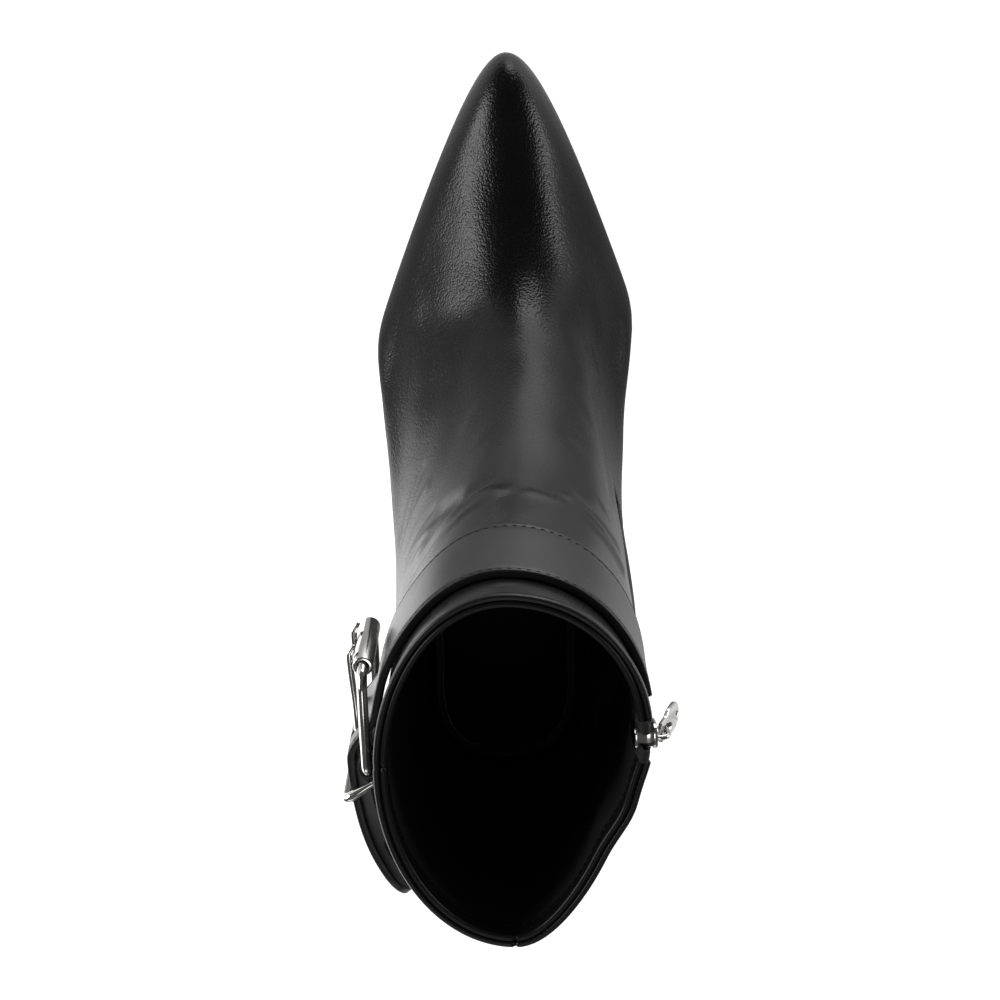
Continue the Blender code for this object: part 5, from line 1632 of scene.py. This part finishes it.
def use_group(tree, group, coords, **values):
    node = add_node(tree, "ShaderNodeGroup", _node_tree=group)
    tree.links.new(coords, node.inputs["Vector"])
    for key, value in values.items():
        node.inputs[key].default_value = value
    return node.outputs


def add_bump(tree, shader, height, depth):
    node = add_node(tree, "ShaderNodeBump", Height=height, Distance=depth, Strength=1.0)
    tree.links.new(node.outputs[0], shader.inputs["Normal"])


def tint(tree, low, high, share):
    """A colour between two colours."""
    node = add_node(tree, "ShaderNodeMix", _data_type="RGBA")
    for socket, value in ((node.inputs[6], low), (node.inputs[7], high)):
        if isinstance(value, bpy.types.NodeSocket):
            tree.links.new(value, socket)
        else:
            socket.default_value = (*value, 1.0)
    tree.links.new(share, node.inputs[0])
    return node.outputs[2]


# Leather: between two heights its grain is stretched smooth and its colour lightens from the vamp's to the
# shaft's as a painted sheen, and rough is a pair for the vamp and the shaft
GRAIN_CALM_Z = (0.046, 0.125)
GRAIN_CALM = 0.40
CREASE_ROUGH = 0.20
TONE_ROUGH = 0.02
VAMP_TINTS = ((0.0020, 0.0020, 0.0022), (0.0036, 0.0036, 0.0039))
# painted sheen: the lighter colour that the leather takes on towards the shaft
SHAFT_PAINTED_SHEEN = (0.0095, 0.0095, 0.0100)
Leather = namedtuple("Leather", "name cells depth rough gloss")
UPPER_LEATHER = Leather("boot_leather", 1250.0, 0.000056, (0.14, 0.28), 0.30)
STRAP_LEATHER = Leather("strap_leather", 1600.0, 0.000022, (0.36, 0.36), 0.45)
HEEL_LEATHER = Leather("heel_leather", 1500.0, 0.000022, (0.26, 0.26), 0.30)
FACING_LEATHER = Leather("facing_leather", 1700.0, 0.000022, (0.30, 0.28), 0.20)

# Cloth: how dark the painted shade in the low spots between threads makes the colour, a touch of sheen, and
# for each cloth the scale of the weave, its depth in metres, colour and roughness
CLOTH_PAINTED_SHADE = 0.5
CLOTH_SHEEN = 0.01
Cloth = namedtuple("Cloth", "name threads depth colour rough")
LINING_CLOTH = Cloth("lining_cloth", 900.0, 0.00005, (0.006, 0.006, 0.0065), 0.85)
TAPE_CLOTH = Cloth("tape_cloth", 1100.0, 0.00008, (0.014, 0.014, 0.014), 0.8)
THREAD_CLOTH = Cloth("thread", 2600.0, 0.00004, (0.003, 0.003, 0.003), 0.85)

# Metal and rubber: two colours that the blotches run between, roughness, and what changes it by how much
Wear = namedtuple("Wear", "changes less more depth metallic")
METAL_WEAR = Wear("Streak", 0.03, 0.05, 0.000002, 1.0)
RUBBER_WEAR = Wear("Blotch", 0.06, 0.06, 0.00003, 0.0)
Worn = namedtuple("Worn", "name low high rough wear")
NICKEL = Worn("nickel", (0.62, 0.61, 0.59), (0.70, 0.69, 0.67), 0.13, METAL_WEAR)
COIL_PLASTIC = Worn("coil_plastic", (0.010, 0.010, 0.010), (0.016, 0.016, 0.016), 0.36, RUBBER_WEAR)
SOLE_RUBBER = Worn("sole_black", (0.014, 0.014, 0.014), (0.022, 0.022, 0.022), 0.55, RUBBER_WEAR)
TIP_RUBBER = Worn("tip_black", (0.012, 0.012, 0.012), (0.018, 0.018, 0.018), 0.5, RUBBER_WEAR)


def leather_material(kind, group):
    material, tree, shader, coords = new_material(kind.name)
    grain = use_group(tree, group, coords, Cells=kind.cells)
    up = add_node(tree, "ShaderNodeSeparateXYZ", Vector=coords).outputs["Z"]
    # painted sheen: the colour lightens with height, from the vamp's tints to the shaft's
    painted_sheen_share = remap(tree, up, *GRAIN_CALM_Z, 0.0, 1.0, smooth=True)
    vamp = tint(tree, *VAMP_TINTS, grain["Tone"])
    tree.links.new(tint(tree, vamp, SHAFT_PAINTED_SHEEN, painted_sheen_share), shader.inputs["Base Color"])
    deep = remap(tree, up, *GRAIN_CALM_Z, 1.0, GRAIN_CALM, smooth=True)
    crease = math_node(tree, "MULTIPLY", grain["Crease"], deep)
    base = remap(tree, up, *GRAIN_CALM_Z, *kind.rough, smooth=True)
    base = math_node(tree, "ADD", base, remap(tree, grain["Tone"], 0.0, 1.0, -TONE_ROUGH, TONE_ROUGH))
    rise = math_node(tree, "MULTIPLY", crease, CREASE_ROUGH)
    tree.links.new(math_node(tree, "ADD", base, rise), shader.inputs["Roughness"])
    shader.inputs["Specular IOR Level"].default_value = kind.gloss
    add_bump(tree, shader, math_node(tree, "MULTIPLY", grain["Height"], deep), kind.depth)
    return material


def cloth_material(kind, group):
    material, tree, shader, coords = new_material(kind.name)
    weave = use_group(tree, group, coords, Threads=kind.threads)
    # painted shade: the colour darkens in the low spots of the weave
    painted_shade_colour = tuple(value * CLOTH_PAINTED_SHADE for value in kind.colour)
    tree.links.new(tint(tree, painted_shade_colour, kind.colour, weave["Shade"]), shader.inputs["Base Color"])
    shader.inputs["Roughness"].default_value = kind.rough
    shader.inputs["Sheen Weight"].default_value = CLOTH_SHEEN
    add_bump(tree, shader, weave["Height"], kind.depth)
    return material


def worn_material(kind, group):
    material, tree, shader, coords = new_material(kind.name)
    marks = use_group(tree, group, coords)
    wear = kind.wear
    tree.links.new(tint(tree, kind.low, kind.high, marks["Blotch"]), shader.inputs["Base Color"])
    shader.inputs["Metallic"].default_value = wear.metallic
    rough = remap(tree, marks[wear.changes], 0.0, 1.0, kind.rough - wear.less, kind.rough + wear.more)
    tree.links.new(rough, shader.inputs["Roughness"])
    add_bump(tree, shader, marks["Blotch"], wear.depth)
    return material


# Camera: tilt from straight down, distance, aim and lens, all from the photo's outline
CAMERA_TILT = math.radians(18.0)
CAMERA_DISTANCE = 1.3
CAMERA_AIM = Vector((-0.01454, 0.00315, 0.100))
CAMERA_LENS = 144.19
CAMERA_SENSOR = 36.0
FLOOR_SIZE = 4.0
FLOOR_GLOW = 0.95
FLOOR_DROP = 0.0004
FLOOR_COLOUR = (0.80, 0.80, 0.80, 1.0)
FLOOR_ROUGH = 0.9
WORLD_COLOUR = (0.9, 0.9, 0.9, 1.0)
WORLD_DIM = 0.09

# Painted reflections: glow that the floor shows to glossy rays only, in bright fields placed round the boot
# and dim near it, so the leather mirrors them; pairs are where a bright field starts and where it is full
SIDE_FIELD_LEAN = 0.40
SIDE_FIELD_Y = (0.080, 0.108)
SIDE_FIELD_X = (0.030, -0.010)
SIDE_FIELD_TURN = (-0.01, 0.01)
SIDE_FIELD_GLOW = (0.5, 1.9)
POOL_INNER = (0.048, 0.064)
POOL_OUTER = (0.110, 0.080)
POOL_BACK = (-0.060, -0.020)
POOL_FRONT = (0.085, 0.035)
POOL_GLOW = 0.05
STRIP_Y = (0.170, 0.020)
STRIP_X = (0.06, 0.22)
STRIP_LEAN = 0.30
STRIP_GLOW = 2.2
APRON_LEFT = (0.24, 0.46)
APRON_RIGHT = (-0.095, -0.170)
APRON_X = (0.050, 0.085)
APRON_GLOW = (0.4, 0.5)
FLOOR_LEAST = 0.03

# Soft boxes: where each stands, how wide and tall it is, and its brightness
Lamp = namedtuple("Lamp", "name x y z wide tall glow")
LAMPS = [
    Lamp("left_box", 0.22, 1.26, 0.42, 0.80, 0.80, 6.4),
    Lamp("right_box", 0.28, -1.22, 0.32, 0.60, 0.62, 5.0),
    Lamp("front_box", 1.32, -0.28, 0.14, 0.75, 0.26, 6.0),
    Lamp("back_box", -1.40, 0.20, 0.80, 1.0, 0.5, 1.5),
    Lamp("top_box", -0.50, 0.00, 1.62, 0.40, 0.40, 3.0),
]
LAMP_AIM = Vector((0.0, 0.0, 0.09))


def add_camera():
    data = bpy.data.cameras.new("camera")
    data.lens = CAMERA_LENS
    data.sensor_width = CAMERA_SENSOR
    camera = bpy.data.objects.new("camera", data)
    bpy.context.scene.collection.objects.link(camera)
    away = Vector((math.sin(CAMERA_TILT), 0.0, math.cos(CAMERA_TILT)))
    up = Vector((math.cos(CAMERA_TILT), 0.0, -math.sin(CAMERA_TILT)))
    turn = Matrix((up.cross(away), up, away)).transposed()
    camera.matrix_world = Matrix.Translation(CAMERA_AIM + away * CAMERA_DISTANCE) @ turn.to_4x4()
    bpy.context.scene.camera = camera


def add_lamps():
    for lamp in LAMPS:
        data = bpy.data.lights.new(lamp.name, "AREA")
        data.shape = "RECTANGLE"
        data.size = lamp.wide
        data.size_y = lamp.tall
        data.energy = lamp.glow * math.pi * lamp.wide * lamp.tall
        light = bpy.data.objects.new(lamp.name, data)
        bpy.context.scene.collection.objects.link(light)
        spot = Vector((lamp.x, lamp.y, lamp.z))
        light.location = spot
        light.rotation_euler = (LAMP_AIM - spot).to_track_quat("-Z", "Y").to_euler()
        light.visible_camera = False


def painted_floor_reflection(tree, coords):
    """Painted reflections: the glow that the floor shows to glossy rays only, bright in placed fields and dim
    near the boot.
    """
    place = add_node(tree, "ShaderNodeSeparateXYZ", Vector=coords).outputs
    x, y = place["X"], place["Y"]
    aside = math_node(tree, "ABSOLUTE", y)

    def product(*factors):
        value = factors[0]
        for factor in factors[1:]:
            value = math_node(tree, "MULTIPLY", value, factor)
        return value

    def fade(value, pair, full=1.0):
        return remap(tree, value, *pair, 0.0, full, smooth=True)

    sides = remap(tree, y, *SIDE_FIELD_TURN, *SIDE_FIELD_GLOW)
    beside = math_node(tree, "SUBTRACT", aside, math_node(tree, "MULTIPLY", x, SIDE_FIELD_LEAN))
    lean = math_node(tree, "ABSOLUTE", math_node(tree, "ADD", y, math_node(tree, "MULTIPLY", x, STRIP_LEAN)))
    pool = product(fade(aside, POOL_INNER, POOL_GLOW), fade(aside, POOL_OUTER))
    fields = [
        product(fade(beside, SIDE_FIELD_Y), fade(x, SIDE_FIELD_X), sides),
        product(pool, fade(x, POOL_BACK), fade(x, POOL_FRONT)),
        product(fade(lean, STRIP_Y, STRIP_GLOW), fade(x, STRIP_X)),
        product(fade(y, APRON_LEFT, APRON_GLOW[1]), fade(x, APRON_X)),
        product(fade(y, APRON_RIGHT, APRON_GLOW[0]), fade(x, APRON_X)),
    ]
    painted_reflection = FLOOR_LEAST
    for field in fields:
        painted_reflection = math_node(tree, "ADD", painted_reflection, field)
    return painted_reflection


def add_floor():
    mesh = bpy.data.meshes.new("floor")
    half = FLOOR_SIZE / 2
    corners = ((-half, -half), (half, -half), (half, half), (-half, half))
    mesh.from_pydata([(x, y, -FLOOR_DROP) for x, y in corners], [], [(0, 1, 2, 3)])
    material, tree, shader, coords = new_material("floor_pale")
    shader.inputs["Base Color"].default_value = FLOOR_COLOUR
    shader.inputs["Roughness"].default_value = FLOOR_ROUGH
    shader.inputs["Specular IOR Level"].default_value = 0.0
    # for glossy rays the floor glows with the painted reflections instead of its even glow
    path = add_node(tree, "ShaderNodeLightPath").outputs["Is Glossy Ray"]
    glow = add_node(tree, "ShaderNodeMix", s0=path, s2=FLOOR_GLOW, s3=painted_floor_reflection(tree, coords)).outputs[0]
    grey = add_node(tree, "ShaderNodeCombineXYZ", s0=glow, s1=glow, s2=glow).outputs[0]
    tree.links.new(grey, shader.inputs["Emission Color"])
    shader.inputs["Emission Strength"].default_value = 1.0
    mesh.materials.append(material)
    floor = bpy.data.objects.new("floor", mesh)
    bpy.context.scene.collection.objects.link(floor)


def add_world():
    world = bpy.data.worlds.new("studio")
    world.use_nodes = True
    tree = world.node_tree
    background = tree.nodes["Background"]
    background.inputs["Color"].default_value = WORLD_COLOUR
    seen = add_node(tree, "ShaderNodeLightPath").outputs["Is Camera Ray"]
    tree.links.new(remap(tree, seen, 0.0, 1.0, WORLD_DIM, 1.0), background.inputs["Strength"])
    bpy.context.scene.world = world


def main():
    grain, weave, wear = leather_group(), weave_group(), wear_group()
    strap_leather = leather_material(STRAP_LEATHER, grain)
    lining = cloth_material(LINING_CLOTH, weave)
    tape = cloth_material(TAPE_CLOTH, weave)
    metal = worn_material(NICKEL, wear)
    buckle = buckle_place()
    make_upper(leather_material(UPPER_LEATHER, grain))
    make_lining(lining)
    seams = [make_facing(leather_material(FACING_LEATHER, grain)), zip_seam()]
    seams.append(make_ankle_strap(strap_leather, buckle))
    seams.extend(make_buckle_strap(strap_leather, buckle))
    dress(sew("stitching", seams, cloth_material(THREAD_CLOTH, weave)), "zip_tape")
    make_frame(metal, buckle)
    make_roller(metal, buckle)
    make_prongs(metal, buckle)
    make_keeper(metal)
    slider = Place(COLLAR - SLIDER_DROP, ZIP_ANGLE)
    make_tape(tape)
    make_teeth(worn_material(COIL_PLASTIC, wear))
    make_tape_ends(tape)
    make_slider(metal, slider)
    make_pull(metal, slider)
    make_outsole(worn_material(SOLE_RUBBER, wear))
    make_insole(lining)
    make_heel(leather_material(HEEL_LEATHER, grain), worn_material(TIP_RUBBER, wear))
    add_floor()
    add_world()
    add_lamps()
    add_camera()
    bpy.context.scene.view_settings.view_transform = "Standard"


main()
